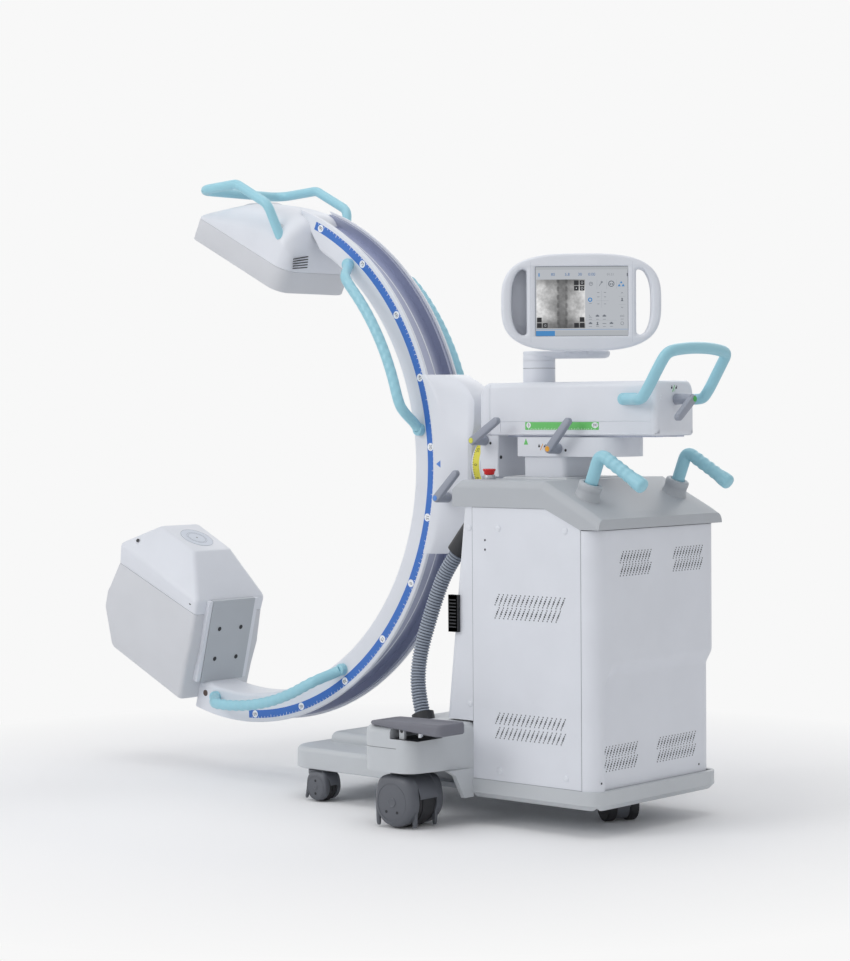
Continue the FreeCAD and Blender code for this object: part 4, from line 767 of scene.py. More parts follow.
shell_rings = (((-176, -669), (116, -662), 116, 8), ((-184, -667), (122, -660), 123, 11),
               ((-191, -660), (123.5, -655), 127, 12), ((-254, -582), (109, -577), 129, 12),
               ((-257, -575), (108, -570), 129.3, 12), ((-264, -534), (101, -511), 130.6, 12),
               ((-262, -520), (98, -499), 129.6, 12), ((-256, -444), (79.6, -426), 127, 11),
               ((-254.5, -441.6), (79, -423.6), 126, 11))
shell = mesh_object("tank_shell",
                    lambda shape: add_loft(shape, [leaning_ring(*ring) for ring in shell_rings]))
finish_piece(shell, tray_grey, "c", ["tank_housing"], 0.5)
cover_rings = (((-254.5, -440.6), (79, -422.6), 126, 11), ((-256, -439), (78.6, -421), 127, 11),
               ((-270, -396), (73.4, -394), 129.5, 12), ((-271, -389), (72, -387), 128.5, 13),
               ((-268, -383), (68, -381), 125.5, 14), ((-206, -306), (-45, -306), 74, 12),
               ((-202, -302.4), (-49, -302.4), 70.5, 11), ((-197, -300.4), (-54, -300.4), 66, 10))
cover = mesh_object("tank_hipped_cover",
                    lambda shape: add_loft(shape, [leaning_ring(*ring) for ring in cover_rings]))
finish_piece(cover, white_lacquer, "c", ["tank_cover"], 0.5)


def add_annulus(shape, matrix, inner, outer, height, sides=64):
    """A flat ring on the matrix's Z axis."""
    rings = []
    for radius, level in ((inner, 0), (outer, 0), (outer, height), (inner, height)):
        rings.append([shape.verts.new(matrix @ Vector((radius * math.cos(a), radius * math.sin(a), level)))
                      for a in (2 * math.pi * k / sides for k in range(sides))])
    for low, high in zip(rings, rings[1:] + rings[:1]):
        for k in range(sides):
            shape.faces.new((low[k], low[(k + 1) % sides], high[(k + 1) % sides], high[k]))


window_frame = c_axes((-123, 0, -300.3), (0, 0, 1))
window_glass = moulded("pale_blue_radiolucent_sheet", "#CBD2DE", 0.32, 2.0, 0.01)
window = mesh_object("window_sheet", lambda shape: add_disc(shape, window_frame, 0.047, 0.0006, 72))
finish_piece(window, window_glass, "c", ["beam_window"])
rings = mesh_object("window_rings", lambda shape: [add_annulus(shape, window_frame, r, r + 0.0007, 0.0008)
                                                   for r in (0.0462, 0.029, 0.025)])
finish_piece(rings, flat_ink("slate_print", "#7D8696"), "c")
target = mesh_object("window_centre_mark", lambda shape: [
    add_block(shape, window_frame @ Matrix.Translation((0, 0, 0.0007)), 0.0064, 0.0012, 0.0003),
    add_block(shape, window_frame @ Matrix.Translation((0, 0, 0.0007)), 0.0012, 0.0064, 0.0003)])
finish_piece(target, print_dark, "c")
dark_screw = mesh_object("screw", lambda shape: add_disc(shape, Matrix(), 0.0052, 0.0012, 24, 0.0046))
repeated("tank_screws", dark_screw, [c_axes((-226, -112, -358), (0, -0.85, 0.5)),
                                     c_axes((50, -127.5, -402), (0, -1, 0.06)),
                                     c_axes((-226, 112, -358), (0, 0.85, 0.5)),
                                     c_axes((50, 127.5, -402), (0, 1, 0.06))], black_nylon_and_painted_shade, "c")
lip = mesh_object("tank_flange_lips", lambda shape: [add_loft(shape, [
    [round_c(r, -79.4 + turn, side * y) for turn, y in ((-0.9, 79), (1.6, 79), (1.6, 92), (-0.9, 92))]
    for r in (392, 396, 610, 618)]) for side in (-1, 1)])
finish_piece(lip, white_lacquer, "c")
hole = mesh_object("hole", lambda shape: add_disc(shape, Matrix(), 0.0062, 0.0004, 28))
along_plate = round_c(1, -79.4, 0) - round_c(0, 0, 0)
out_of_plate = round_c(500, -78.4, 0) - round_c(500, -79.4, 0)
repeated("plate_bolt_holes", hole, [frame_at(round_c(r, -77.57, y), along_plate, out_of_plate)
                                    for r in (471, 556) for y in (-40, 40)], black_nylon_and_painted_shade, "c")
recess = mesh_object("beam_end_recess", lambda shape: add_disc(
    shape, frame_at(round_c(650, -77.0, -beam_half), along_plate, (0, -1, 0)), 0.0085, 0.0004, 32))
finish_piece(recess, flat_ink("brown_shadowed_bore", "#5A4A44", 0.6), "c")

# Carriage: a deep white shell whose hollow front follows the C and whose sides narrow towards the
# turning hub. A blue triangle points at the scale, and a ring with yellow readings runs round the hub.

axis_z = 844.0
arc_centre_x, arc_radius, arc_reach = -602.0, 700.0, 18.5
carriage_half = 85.0
carriage_back = ((622, 150), (652, 175), (750, 212), (940, 215), (1000, 204), (1040, 170), (1066, 116))
hub_halves = ((622, 40), (700, 58), (780, 73), (905, 73), (985, 52), (1066, 28))


def stand(x, y, z):
    """A point of the machine's own frame, in millimetres, in metres."""
    return Vector((x / 1000 + datum_x, y / 1000, z / 1000))


def side_frame(x, y, z, side):
    """A frame on a side face: X runs to the rear, Z points out of the side given by its sign."""
    return frame_at(stand(x, y, z), (1, 0, 0), (0, side, 0))


def rear_frame(x, y, z):
    """A frame on a rear face: X runs to the far side, Z points to the rear."""
    return frame_at(stand(x, y, z), (0, 1, 0), (1, 0, 0))


def top_frame(x, y, z):
    """A frame on a level face: X runs to the rear, Z points up."""
    return frame_at(stand(x, y, z), (1, 0, 0), (0, 0, 1))


def carriage_ring(part):
    """One slice of the carriage between its front, where part is 0, and its stepped back."""
    steps = 26
    ring = []
    for k in range(steps + 1):
        a = math.radians(arc_reach * (2 * k / steps - 1))
        front_x, z = arc_centre_x + arc_radius * math.cos(a), axis_z + arc_radius * math.sin(a)
        ring.append((front_x + (eased(carriage_back, z) - front_x) * part, z))
    return ring


def fill_carriage(shape):
    """The carriage's sides, from slices that narrow towards the hub."""
    slices = 16
    rows = []
    for side in (-1, 1):
        for i in range(slices + 1):
            part = i / slices if side < 0 else 1 - i / slices
            narrowing = eased(((0, 0.0), (0.3, 0.0), (0.62, 0.42), (1, 1.0)), part)
            tuck = 0.93 if part in (0, 1) else 1.0
            row = []
            for x, z in carriage_ring(part):
                half = carriage_half + (eased(hub_halves, z) - carriage_half) * narrowing
                row.append(shape.verts.new(stand(x, side * tuck * half, z)))
            rows.append(row)
    count = len(rows[0])
    for low, high in zip(rows, rows[1:] + rows[:1]):
        for k in range(count - 1):
            shape.faces.new((low[k], low[k + 1], high[k + 1], high[k]))
    shape.faces.new([row[0] for row in rows])
    shape.faces.new([row[-1] for row in rows][::-1])


def rounded(made, width, segments=3, angle=0.7):
    """Round the edges of a mesh that turn by more than the angle."""
    modifier = made.modifiers.new("round", "BEVEL")
    modifier.width = width / 1000
    modifier.segments = segments
    modifier.limit_method = "ANGLE"
    modifier.angle_limit = angle
    graph = bpy.context.evaluated_depsgraph_get()
    mesh = bpy.data.meshes.new_from_object(made.evaluated_get(graph), depsgraph=graph)
    made.modifiers.clear()
    made.data = mesh
    return made


carriage = rounded(mesh_object("carriage_shell", fill_carriage), 9.0, 4, 0.6)
finish_piece(carriage, white_lacquer, "carriage", ["carriage_cover"], 0.5)
pointer_blue = flat_ink("blue_pointer_print", "#5B8AD6")
pointer = mesh_object("c_pointer",
                      lambda shape: add_loft(shape,
                                             [[stand(x, -carriage_half - lift, z)
                                               for x, z in ((113, 845), (127, 836), (127, 854))]
                                              for lift in (-0.1, 0.25)]))
finish_piece(pointer, pointer_blue, "carriage")
yellow = flat_ink("yellow_scale_ink", "#E2DA4C")
ring_x0, ring_x1, hub_r = 219.0, 239.0, 70.0
ring_band = mesh_object("hub_scale_ring", lambda shape: add_annulus(shape, rear_frame(ring_x0, 0, axis_z),
                                                                    hub_r / 1000, (hub_r + 0.4) / 1000,
                                                                    (ring_x1 - ring_x0) / 1000, 96))
finish_piece(ring_band, yellow, "carriage")


def on_hub(angle, x, proud):
    """A frame on the hub's rim: X points along the machine, Z out of the rim."""
    a = math.radians(angle)
    out = Vector((0, -math.cos(a), math.sin(a)))
    return frame_at(stand(x, 0, axis_z) + out * (hub_r + proud) / 1000, (0, math.sin(a), math.cos(a)), out)


hub_angles = (0, 30, -30, 60, -60, 90, -90)
hub_marks = joined("hub_readings", [words("reading", str(abs(angle)), 0.012, on_hub(angle, 229, 0.5))
                                    for angle in hub_angles])
finish_piece(hub_marks, print_dark, "carriage")
hub_tick = mesh_object("tick", lambda shape: add_block(shape, Matrix(), 0.0008, 0.005, 0.0002))
hub_tick_places = [on_hub(angle, 220.5, 0.45) for angle in range(-95, 96, 5)]
repeated("hub_ticks", hub_tick, hub_tick_places, print_dark, "carriage")

# Brake levers: grey glass filled nylon bars with a slight taper and a rounded end, on round bosses.
# The end of each boss holds a coloured dot that matches the colour of the scale it locks.


def paddle(length, foot_half, tip_half):
    """The outline of a lever's bar, from the pivot along X."""
    points = [(foot_half * math.cos(a), foot_half * math.sin(a)) for a in
              (math.radians(90 + 180 * k / 12) for k in range(13))]
    return points + [(length + tip_half * math.cos(a), tip_half * math.sin(a)) for a in
                     (math.radians(-90 + 180 * k / 12) for k in range(13))]


def add_lever(name, body, node, base, out, along, boss, length, dot_code):
    """A boss out of the face, the bar across its end and the dot on it."""
    axes = frame_at(base, along, out)
    thick = 0.015

    def fill(shape):
        add_disc(shape, axes @ Matrix.Translation((0, 0, 0.0004)), 0.0128, boss - thick * 0.5, 36, 0.0112)
        outline = paddle(length, 0.0098, 0.0086)
        levels = ((boss - thick, 0.0022), (boss - thick + 0.0022, 0.0), (boss - 0.0026, 0.0),
                  (boss - 0.0008, 0.0011), (boss, 0.0036))
        rings = []
        for level, inset in levels:
            ring = []
            for x, y in outline:
                centre = 0.0 if x < length / 2 else length
                reach = math.hypot(x - centre, y)
                share = (reach - inset) / reach
                bow = -0.0035 * math.sin(math.pi * max(0.0, min(1.0, x / length)))
                ring.append(axes @ Vector((centre + (x - centre) * share, y * share, level + bow)))
            rings.append(ring)
        add_loft(shape, rings)
    finish_piece(mesh_object(name, fill), lever_nylon, body, [node])
    dot = mesh_object(name + "_dot",
                      lambda shape: add_disc(shape, axes @ Matrix.Translation((0, 0, boss - 0.0002)), 0.0068,
                                             0.0016, 32, 0.0058))
    finish_piece(dot, flat_ink(name + "_dot_colour", dot_code, 0.3), body)


def rise(degrees):
    """A direction in the machine's upright plane, by its angle above the rear."""
    return math.cos(math.radians(degrees)), 0, math.sin(math.radians(degrees))


side_out = (0, -1, 0)
travel_lean = math.radians(37.2)
add_lever("orbit_grip", "orbit_lever", "lever_orbit", stand(150, -85, 763), side_out, rise(44.5), 0.048,
          0.086, "#5F93E0")
add_lever("rotation_grip", "rotation_lever", "lever_rotation", stand(262, -75, 904), side_out, rise(32.7),
          0.052, 0.088, "#DCDC58")
add_lever("pan_grip", "pan_lever", "lever_pan", stand(490, -75, 885), side_out, rise(48.8), 0.042, 0.086,
          "#F0A830")
add_lever("travel_grip", "travel_lever", "lever_travel", stand(778, 0, 1000), (1, 0, 0),
          (0, -math.cos(travel_lean), -math.sin(travel_lean)), 0.054, 0.068, "#35B04A")

# Arm: moulded covers over the sliding rail, with round top edges and a shallow strip along each side.
# The near strip holds a green ruler of 0 to 200 mm. A thin back cover closes the arm, and a looped
# handle in the pale blue coat stands out on both sides of it.

arm_half, arm_low, arm_top = 75.0, 916.0, 1043.0
strip_low, strip_high, strip_depth = 921.5, 949.0, 1.5
seam_x, strip_end, cap_x, arm_end = 279.8, 758.0, 762.0, 778.0


def arm_slice(x, inset, top_round, depth=0.0, drop=0.0):
    """One slice of the arm's covers, with round top edges and a strip of this depth on each side."""
    half = arm_half - inset
    top = arm_top - inset * 0.6 - drop
    right = [(half - 3, arm_low + inset), (half, arm_low + inset + 3), (half, strip_low - 1.2),
             (half - depth, strip_low), (half - depth, strip_high), (half, strip_high + 1.2)]
    for k in range(11):
        a = math.radians(9 * k)
        right.append((half - top_round + top_round * math.cos(a), top - top_round + top_round * math.sin(a)))
    return [stand(x, y, z) for y, z in right + [(-y, z) for y, z in right[::-1]]]


front_slices = ((245, 9, 20, 30), (246, 6.2, 19, 22), (248.5, 3.4, 18, 14.5), (252.5, 1.6, 17, 8.6),
                (258, 0.5, 16, 4.0), (265, 0, 15, 1.2), (272, 0, 14, 0), (279.0, 0, 14, 0),
                (279.5, 0.5, 14, 0))
arm_front = mesh_object("arm_front_cover", lambda shape: add_loft(shape, [
    arm_slice(x, inset, top_round, 0.0, drop) for x, inset, top_round, drop in front_slices]))
finish_piece(arm_front, white_lacquer, "arm", ["arm_drum"], 0.8)
shell_slices = ((seam_x, 0.5, 14, 0.0), (seam_x + 0.6, 0, 14, 0.0), (311, 0, 14, 0.0),
                (312, 0, 14, strip_depth), (strip_end, 0, 14, strip_depth), (strip_end + 0.8, 0, 14, 0.0),
                (cap_x - 0.8, 0, 14, 0.0), (cap_x - 0.3, 0.5, 14, 0.0))
arm_shell = mesh_object("arm_long_cover",
                        lambda shape: add_loft(shape, [arm_slice(*row) for row in shell_slices]))
finish_piece(arm_shell, white_lacquer, "arm", ["arm_shell"], 0.5)
cap_slices = ((cap_x, 0.1, 14), (cap_x + 0.4, -0.7, 15), (cap_x + 5, -0.7, 20), (cap_x + 9, 0.6, 26),
              (cap_x + 12.5, 3.4, 33), (cap_x + 15, 7.0, 38), (arm_end, 11.5, 41))
arm_cap = mesh_object("arm_back_cover",
                      lambda shape: add_loft(shape, [arm_slice(*row) for row in cap_slices]))
finish_piece(arm_cap, white_lacquer, "arm", ["arm_end_cap"], 0.8)
housing_low = 816.0


def fill_turn_housing(shape):
    """The round bearing housing under the arm's front end."""
    rings = []
    for x, inset in ((245, 5), (246.5, 2), (250, 0), (298, 0), (301.5, 0.8), (303, 2.6)):
        right = []
        for k in range(9):
            z = housing_low + (axis_z - housing_low) * k / 8
            right.append((math.sqrt(arm_half ** 2 - (axis_z - z) ** 2) - inset, max(z, housing_low + inset)))
        right += [(arm_half - inset - 0.3, 880), (arm_half - inset - 2.5 * (x > 297), arm_low - 0.4)]
        rings.append([stand(x, y, z) for y, z in right + [(-y, z) for y, z in right[::-1]]])
    add_loft(shape, rings)


finish_piece(mesh_object("turn_housing", fill_turn_housing), white_lacquer, "arm",
             ["arm_drum"], 0.6)
housing_screw = mesh_object("screw", lambda shape: add_disc(shape, Matrix(), 0.0045, 0.001, 20, 0.004))
repeated("turn_housing_screws", housing_screw, [rear_frame(303, y, 863) for y in (-63, 63)],
         black_nylon_and_painted_shade, "arm")

ruler_green = flat_ink("green_scale_ink", "#6CC86C")
strip_y = -(arm_half - strip_depth)
ruler_x0, ruler_x1, ruler_low, ruler_high, zero_x = 388.5, 610.0, 929.3, 948.0, 399.0


def on_strip(x, z, proud):
    """A frame on the near strip: X runs back along the arm, Y up and Z out of its face."""
    return side_frame(x, strip_y - proud, z, -1)


ruler = mesh_object("arm_ruler",
                    lambda shape: add_block(shape,
                                            on_strip((ruler_x0 + ruler_x1) / 2, (ruler_low + ruler_high) / 2,
                                                     0.1), (ruler_x1 - ruler_x0) / 1000,
                                            (ruler_high - ruler_low) / 1000, 0.0004))
finish_piece(ruler, ruler_green, "arm")
tick = mesh_object("tick", lambda shape: add_block(shape, Matrix(), 0.0009, 0.001, 0.0002))
ruler_ticks = []
for mm in range(0, 201, 5):
    length = 5.4 if mm % 50 == 0 else 3.8 if mm % 10 == 0 else 2.4
    ruler_ticks.append(on_strip(zero_x + mm, ruler_low + 0.4 + length / 2, 0.4)
                       @ Matrix.Diagonal((1, length, 1, 1)))
repeated("ruler_ticks", tick, ruler_ticks, print_white, "arm")
field = mesh_object("field", lambda shape: add_disc(shape, Matrix(), 0.0066, 0.0002, 36))
repeated("ruler_fields", field, [on_strip(zero_x, 940.5, 0.3), on_strip(zero_x + 200, 940.5, 0.3)
                                 @ Matrix.Diagonal((1.45, 1, 1, 1))], print_white, "arm")
ruler_words = joined("ruler_readings", [words("reading", "0", 0.0105, on_strip(zero_x, 940.5, 0.55)),
                                        words("reading", "200", 0.0095, on_strip(zero_x + 200, 940.5, 0.55))])
finish_piece(ruler_words, print_dark, "arm")


def add_lock(shape, matrix, x, gap):
    """A small printed padlock, open when the gap isn't zero."""
    add_block(shape, matrix @ Matrix.Translation((x, 0, 0)), 0.0055, 0.0044, 0.0003)
    add_annulus(shape, matrix @ Matrix.Translation((x + gap, 0.0034, -0.0001)), 0.0013, 0.002, 0.0003, 20)


def add_slash(shape, matrix, x, y, length, width, lean):
    """A slanted printed bar."""
    place = matrix @ Matrix.Translation((x, y, 0)) @ Matrix.Rotation(math.radians(lean), 4, "Z")
    add_block(shape, place, width, length, 0.0003)


def lock_sign(name, matrix, ink, body):
    """Closed and open padlocks with a slanted bar between them in the lever's colour."""
    locks = mesh_object(name + "_locks", lambda shape: [add_lock(shape, matrix, -0.009, 0),
                                                        add_lock(shape, matrix, 0.0085, 0.0022)])
    finish_piece(locks, print_dark, body)
    bars = mesh_object(name + "_bars",
                       lambda shape: [add_slash(shape, matrix, -0.0015, -0.0015, 0.017, 0.0021, -28),
                                      add_slash(shape, matrix, 0.004, -0.004, 0.010, 0.0007, -28)])
    finish_piece(bars, ink, body)


lock_sign("travel_sign", rear_frame(arm_end + 0.15, -7, 1026), ruler_green, "arm")
back_plug = mesh_object("back_cover_plug", lambda shape: add_disc(shape, rear_frame(arm_end, -56, 1003),
                                                                 0.007, 0.0016, 32, 0.0062))
finish_piece(back_plug, white_lacquer, "arm")


def fill_arm_handle(shape):
    """One bar bent round the back of the arm, and a pad with two round caps at each foot."""
    near = [(700, -88, 1000), (728, -96, 1000), (760, -119, 999), (776, -122, 1005), (822, -121, 1080),
            (838, -119, 1103), (843, -98, 1111), (847, -45, 1116), (848, 0, 1117)]
    control = [stand(*p) for p in near] + [stand(x, -y, z) for x, y, z in near[-2::-1]]
    path = even_points(spline_points(control, 14), 0.004)
    add_tube(shape, path, lambda i: (0.0128, 0.0138), 32, Vector((0, 0, 1)))
    for side in (-1, 1):
        profile = ((75, 3), (82, 0.4), (86, 0), (89.5, 0.6), (91.5, 2.2), (92.5, 5))
        rings = []
        for y, inset in profile:
            ring = []
            for centre, start in ((690, 90), (724, -90)):
                for k in range(13):
                    a = math.radians(start + 15 * k)
                    ring.append(stand(centre + (14 - inset) * math.cos(a), side * y, 1001
                                      + (14 - inset) * math.sin(a)))
            rings.append(ring)
        add_loft(shape, rings)
        for x in (694, 712):
            add_disc(shape, side_frame(x, side * 92.3, 1001, side), 0.0072, 0.0018, 32, 0.006)


finish_piece(mesh_object("arm_loop_handle", fill_arm_handle), handle_coat, "arm",
             ["arm_handle"], 0.7)

# Pan head: a flat casting on the lift column. A green triangle on its near face points at the ruler,
# and the signs by the levers show which way locks. A pressed frame closes the column's opening.

pointer = mesh_object("ruler_pointer", lambda shape: add_loft(shape, [
    [stand(x, -75 - lift, z) for x, z in ((385, 894), (398, 894), (391.5, 909))] for lift in (-0.1, 0.3)]))
finish_piece(pointer, ruler_green, "pan")
lock_sign("pan_sign", side_frame(441, -75.2, 890, -1), flat_ink("orange_print", "#E8A24C"), "pan")
pan_screw = mesh_object("screw", lambda shape: add_disc(shape, Matrix(), 0.0034, 0.0006, 20, 0.003))
repeated("lever_boss_screws", pan_screw,
         [side_frame(x, y, z, -1) for x, y, z in ((171, -85, 776), (280, -75, 897), (512, -75, 881))],
         black_nylon_and_painted_shade, "arm")
cover_table_z = 813.0


def fill_column_frame(shape):
    """A low pressed frame round the column's opening, with a rolled edge."""
    made = []
    for x0, x1, half, level in ((372, 512, 76, 0), (372, 512, 76, 3.4), (369, 515, 79, 4.6),
                                (345, 534, 100, 4.6), (341.5, 537.5, 103.5, 3.2), (340, 539, 105, 0)):
        plan = round_plan(x0, x1, half, 6, 6, 4)
        made.append([shape.verts.new(stand(x, y, cover_table_z + level)) for x, y in plan])
    for low, high in zip(made, made[1:] + made[:1]):
        for k in range(len(low)):
            shape.faces.new((low[k], low[(k + 1) % len(low)], high[(k + 1) % len(low)], high[k]))


column_frame = mesh_object("column_frame", fill_column_frame)
finish_piece(column_frame, base_lacquer, "chassis")

# Monitor: a two part housing with rounded edges, moulded in one piece with a grip on each side, whose
# outline bulges evenly. A thin LCD panel lies behind a bevelled opening. Its working page is generic.

post_x = 373.0
yaw = math.radians(41.6)
across = Vector((math.cos(yaw), math.sin(yaw), 0))
facing = Vector((math.sin(yaw), -math.cos(yaw), 0))
face_frame = frame_at(stand(post_x, 0, 1231) + across * 0.094 + facing * 0.148, across, facing)
bulge, half_width, half_height, rim = 3.1, 189.0, 115.5, 23.5


def outline_x(y):
    """Half the housing's width at a height, in millimetres."""
    share = min(1.0, abs(y) / half_height)
    return half_width * (1 - share ** bulge) ** (1 / bulge)


def housing_loop(inset):
    """The outline of the housing, drawn in by the inset."""
    points = []
    for k in range(120):
        a = 2 * math.pi * (k + 0.5) / 120
        c, s = math.cos(a), math.sin(a)
        points.append(((half_width - inset) * math.copysign(abs(c) ** (2 / bulge), c),
                       (half_height - inset) * math.copysign(abs(s) ** (2 / bulge), s)))
    return points


def slot_loop(side, inset):
    """A grip slot, straight towards the screen and bulged on the outside. The inset widens it."""
    low, high, edge = -77.0 - inset, 78.0 + inset, 8.0
    heights = [low + (high - low) * (0.5 - 0.5 * math.cos(math.pi * k / 30)) for k in range(31)]
    inner, outer = [], []
    for y in heights:
        past = max(0.0, abs(y - (low + high) / 2) - ((high - low) / 2 - edge))
        tuck = edge - math.sqrt(max(0.0, edge * edge - past * past))
        inner.append((side * (129.5 - inset + tuck), y))
        outer.append((side * (max(outline_x(y) - rim, 140) + inset - tuck), y))
    points = inner[:-1] + outer[::-1][:-1]
    return points if side > 0 else points[::-1]


def screen_loop(inset):
    """The bevelled opening of the screen."""
    points = []
    x0, x1, y0, y1, r = -109 - inset, 110 + inset, -80 - inset, 84 + inset, 2.5
    for x, y, start in ((x1 - r, y1 - r, 0), (x0 + r, y1 - r, 90), (x0 + r, y0 + r, 180),
                        (x1 - r, y0 + r, 270)):
        points += [(x + r * math.cos(math.radians(start + 22.5 * k)),
                    y + r * math.sin(math.radians(start + 22.5 * k))) for k in range(5)]
    return points


def add_plate(shape, loops, profile):
    """A plate with holes. Each loop is a function of its inset, and the profile lists inset and depth."""
    edges = []
    for loop in loops:
        rows = []
        for inset, depth in profile:
            rows.append([shape.verts.new(face_frame @ Vector((x / 1000, y / 1000, -depth / 1000)))
                         for x, y in loop(inset)])
        for near_row, far_row in zip(rows, rows[1:]):
            for k in range(len(near_row)):
                n = (k + 1) % len(near_row)
                shape.faces.new((near_row[k], near_row[n], far_row[n], far_row[k]))
        edges.append((rows[0], rows[-1]))
    for end, inset in ((0, profile[0][0]), (1, profile[-1][0])):
        points = [[Vector((x, y, 0)) for x, y in loop(inset)] for loop in loops]
        corners = [vert for pair in edges for vert in pair[end]]
        for a, b, c in tessellate_polygon(points):
            shape.faces.new((corners[a], corners[b], corners[c]))


front_profile = ((7.5, 0.0), (4.6, 0.7), (2.4, 2.2), (0.9, 4.6), (0.1, 8.0), (0.0, 25.4), (0.6, 26.0))
opening_share = 0.28
monitor_front = mesh_object("monitor_front", lambda shape: add_plate(
    shape, [housing_loop, lambda inset: slot_loop(-1, inset), lambda inset: slot_loop(1, inset),
            lambda inset: screen_loop(inset * opening_share)], front_profile))
finish_piece(monitor_front, white_lacquer, "monitor", ["monitor_housing"], 0.9)
back_profile = ((0.6, 26.4), (0.0, 27.2), (0.4, 44.0), (2.4, 50.0), (6.0, 54.6), (10.0, 57.4), (11.2, 58.4))
monitor_back = mesh_object("monitor_back",
                           lambda shape: add_plate(shape, [housing_loop, lambda inset: slot_loop(-1, inset),
                                                           lambda inset: slot_loop(1, inset)],
                                                   back_profile))
finish_piece(monitor_back, white_lacquer, "monitor", ["monitor_housing"], 0.9)


def add_seam(shape, x):
    """A fine joint line across the front, from the top edge to the lower edge."""
    add_block(shape, face_frame @ Matrix.Translation((x / 1000, 0, 0)), 0.0005, 0.190, 0.0001)


joint_grey = flat_ink("shaded_joint", "#BFC3CC", 0.5)
finish_piece(mesh_object("monitor_joints", lambda shape: [add_seam(shape, x) for x in (-120, 120)]),
             joint_grey, "monitor")
back_slot = mesh_object("slot", lambda shape: add_block(shape, Matrix(), 0.003, 0.026, 0.0004))
repeated("monitor_back_slots", back_slot, [face_frame @ Matrix.Translation((x / 1000, 0.052, -0.0585))
                                           for x in range(-72, 73, 8)], black_nylon_and_painted_shade, "monitor")

tilt_z = 1205.0
tilt_axis = stand(post_x, 0, tilt_z) + across * 0.094 + facing * 0.038


def add_lathe(shape, matrix, profile, sides=48):
    """A turned solid on the matrix's Z axis, from radius and height pairs in millimetres."""
    add_loft(shape, [[matrix @ Vector((r / 1000 * math.cos(a), r / 1000 * math.sin(a), z / 1000))
                      for a in (2 * math.pi * k / sides for k in range(sides))] for r, z in profile])


def fill_monitor_arm(shape):
    """The turning base on the post, the plate under the monitor and the two cheeks that hold its pin."""
    base = frame_at(stand(post_x, 0, 0), across, (0, 0, 1))
    levels = ((1095.4, 0.4), (1096, 0), (1105, 0), (1108, 0.6), (1110, 2.4))
    add_lathe(shape, base, [(39 - inset, z) for z, inset in levels], 64)
    rows = []
    for z, inset in ((1101, 12), (1102.5, 7), (1105, 3.4), (1108.5, 1), (1112, 0), (1117, 0), (1119, 2.5)):
        ring = []
        for centre, start, radius in ((142, -90, 30), (0, 90, 39)):
            for k in range(25):
                a = math.radians(start + 7.5 * k)
                ring.append(base @ Vector(((centre + (radius - inset) * math.cos(a)) / 1000,
                                           (radius - inset) * math.sin(a) / 1000, z / 1000)))
        rows.append(ring)
    add_loft(shape, rows)
    for x in (66.5, 121.5):
        cheek = frame_at(stand(post_x, 0, 0) + across * x / 1000 + facing * 0.038, facing, -across)
        ring_rows = []
        for offset, inset in ((-6, 1.2), (-5, 0), (5, 0), (6, 1.2)):
            r = 13 - inset
            arch = [(r * math.cos(math.radians(15 * k)), tilt_z + r * math.sin(math.radians(15 * k)))
                    for k in range(13)]
            ring_rows.append([cheek @ Vector((u / 1000, v / 1000, offset / 1000)) for u, v in [(r, 1112)]
                              + arch + [(-r, 1112)]])
        add_loft(shape, ring_rows)
    add_disc(shape, frame_at(tilt_axis - across * 0.036, facing, across), 0.006, 0.072, 32)


finish_piece(mesh_object("monitor_turn_arm", fill_monitor_arm), white_lacquer, "monitor_link",
             ["monitor_arm"], 0.7)
lug = mesh_object("monitor_lug", lambda shape: [
    add_disc(shape, frame_at(tilt_axis - across * 0.014, facing, across), 0.012, 0.028, 40),
    add_block(shape, frame_at(tilt_axis + facing * 0.03, facing, across), 0.05, 0.024, 0.028)])
finish_piece(lug, white_lacquer, "monitor")
post_ring = mesh_object("monitor_post_joint", lambda shape: add_annulus(shape, top_frame(post_x, 0, 1077),
                                                                      0.0388, 0.03915, 0.001))
finish_piece(post_ring, flat_ink("dark_joint", "#6C7078", 0.6), "arm")


def lit(name, code, strength=0.82):
    """A colour of the LCD: backlit, under a faintly glossy front film."""
    material, tree = empty_material(name)
    place = add_node(tree, "ShaderNodeTexCoord")
    cells = add_node(tree, "ShaderNodeTexNoise", [("Vector", place.outputs["Object"])], Scale=2400.0)
    tint = add_node(tree, "ShaderNodeValToRGB", [(0, cells.outputs[0])])
    tint.color_ramp.elements[0].color = [c * 0.93 for c in linear(code)[:3]] + [1]
    tint.color_ramp.elements[1].color = linear(code)
    shader = add_node(tree, "ShaderNodeBsdfPrincipled", [("Emission Color", tint.outputs[0])],
                      Base_Color=linear("#0C0E12"), Roughness=0.3)
    shader.inputs["Emission Strength"].default_value = strength
    add_node(tree, "ShaderNodeOutputMaterial", [("Surface", shader.outputs[0])])
    return material
page_ink = 0.00006


def on_page(x, y, lift):
    """A frame on the LCD, in millimetres from the housing's centre. lift is its layer."""
    return face_frame @ Matrix.Translation((x / 1000, y / 1000, -0.0024 + lift * 0.00008))


def add_tile(shape, x0, x1, y0, y1, lift):
    """A flat rectangle of the page."""
    add_block(shape, on_page((x0 + x1) / 2, (y0 + y1) / 2, lift), abs(x1 - x0) / 1000, abs(y1 - y0) / 1000,
              page_ink)


def add_page_ring(shape, x, y, inner, outer, sides, lift=2):
    """A printed ring of the page, in millimetres."""
    add_annulus(shape, on_page(x, y, lift), inner / 1000, outer / 1000, page_ink, sides)


def add_page_dot(shape, x, y, radius, sides, lift=2):
    """A filled dot of the page, or with three sides an arrow head."""
    add_disc(shape, on_page(x, y, lift), radius / 1000, page_ink, sides)


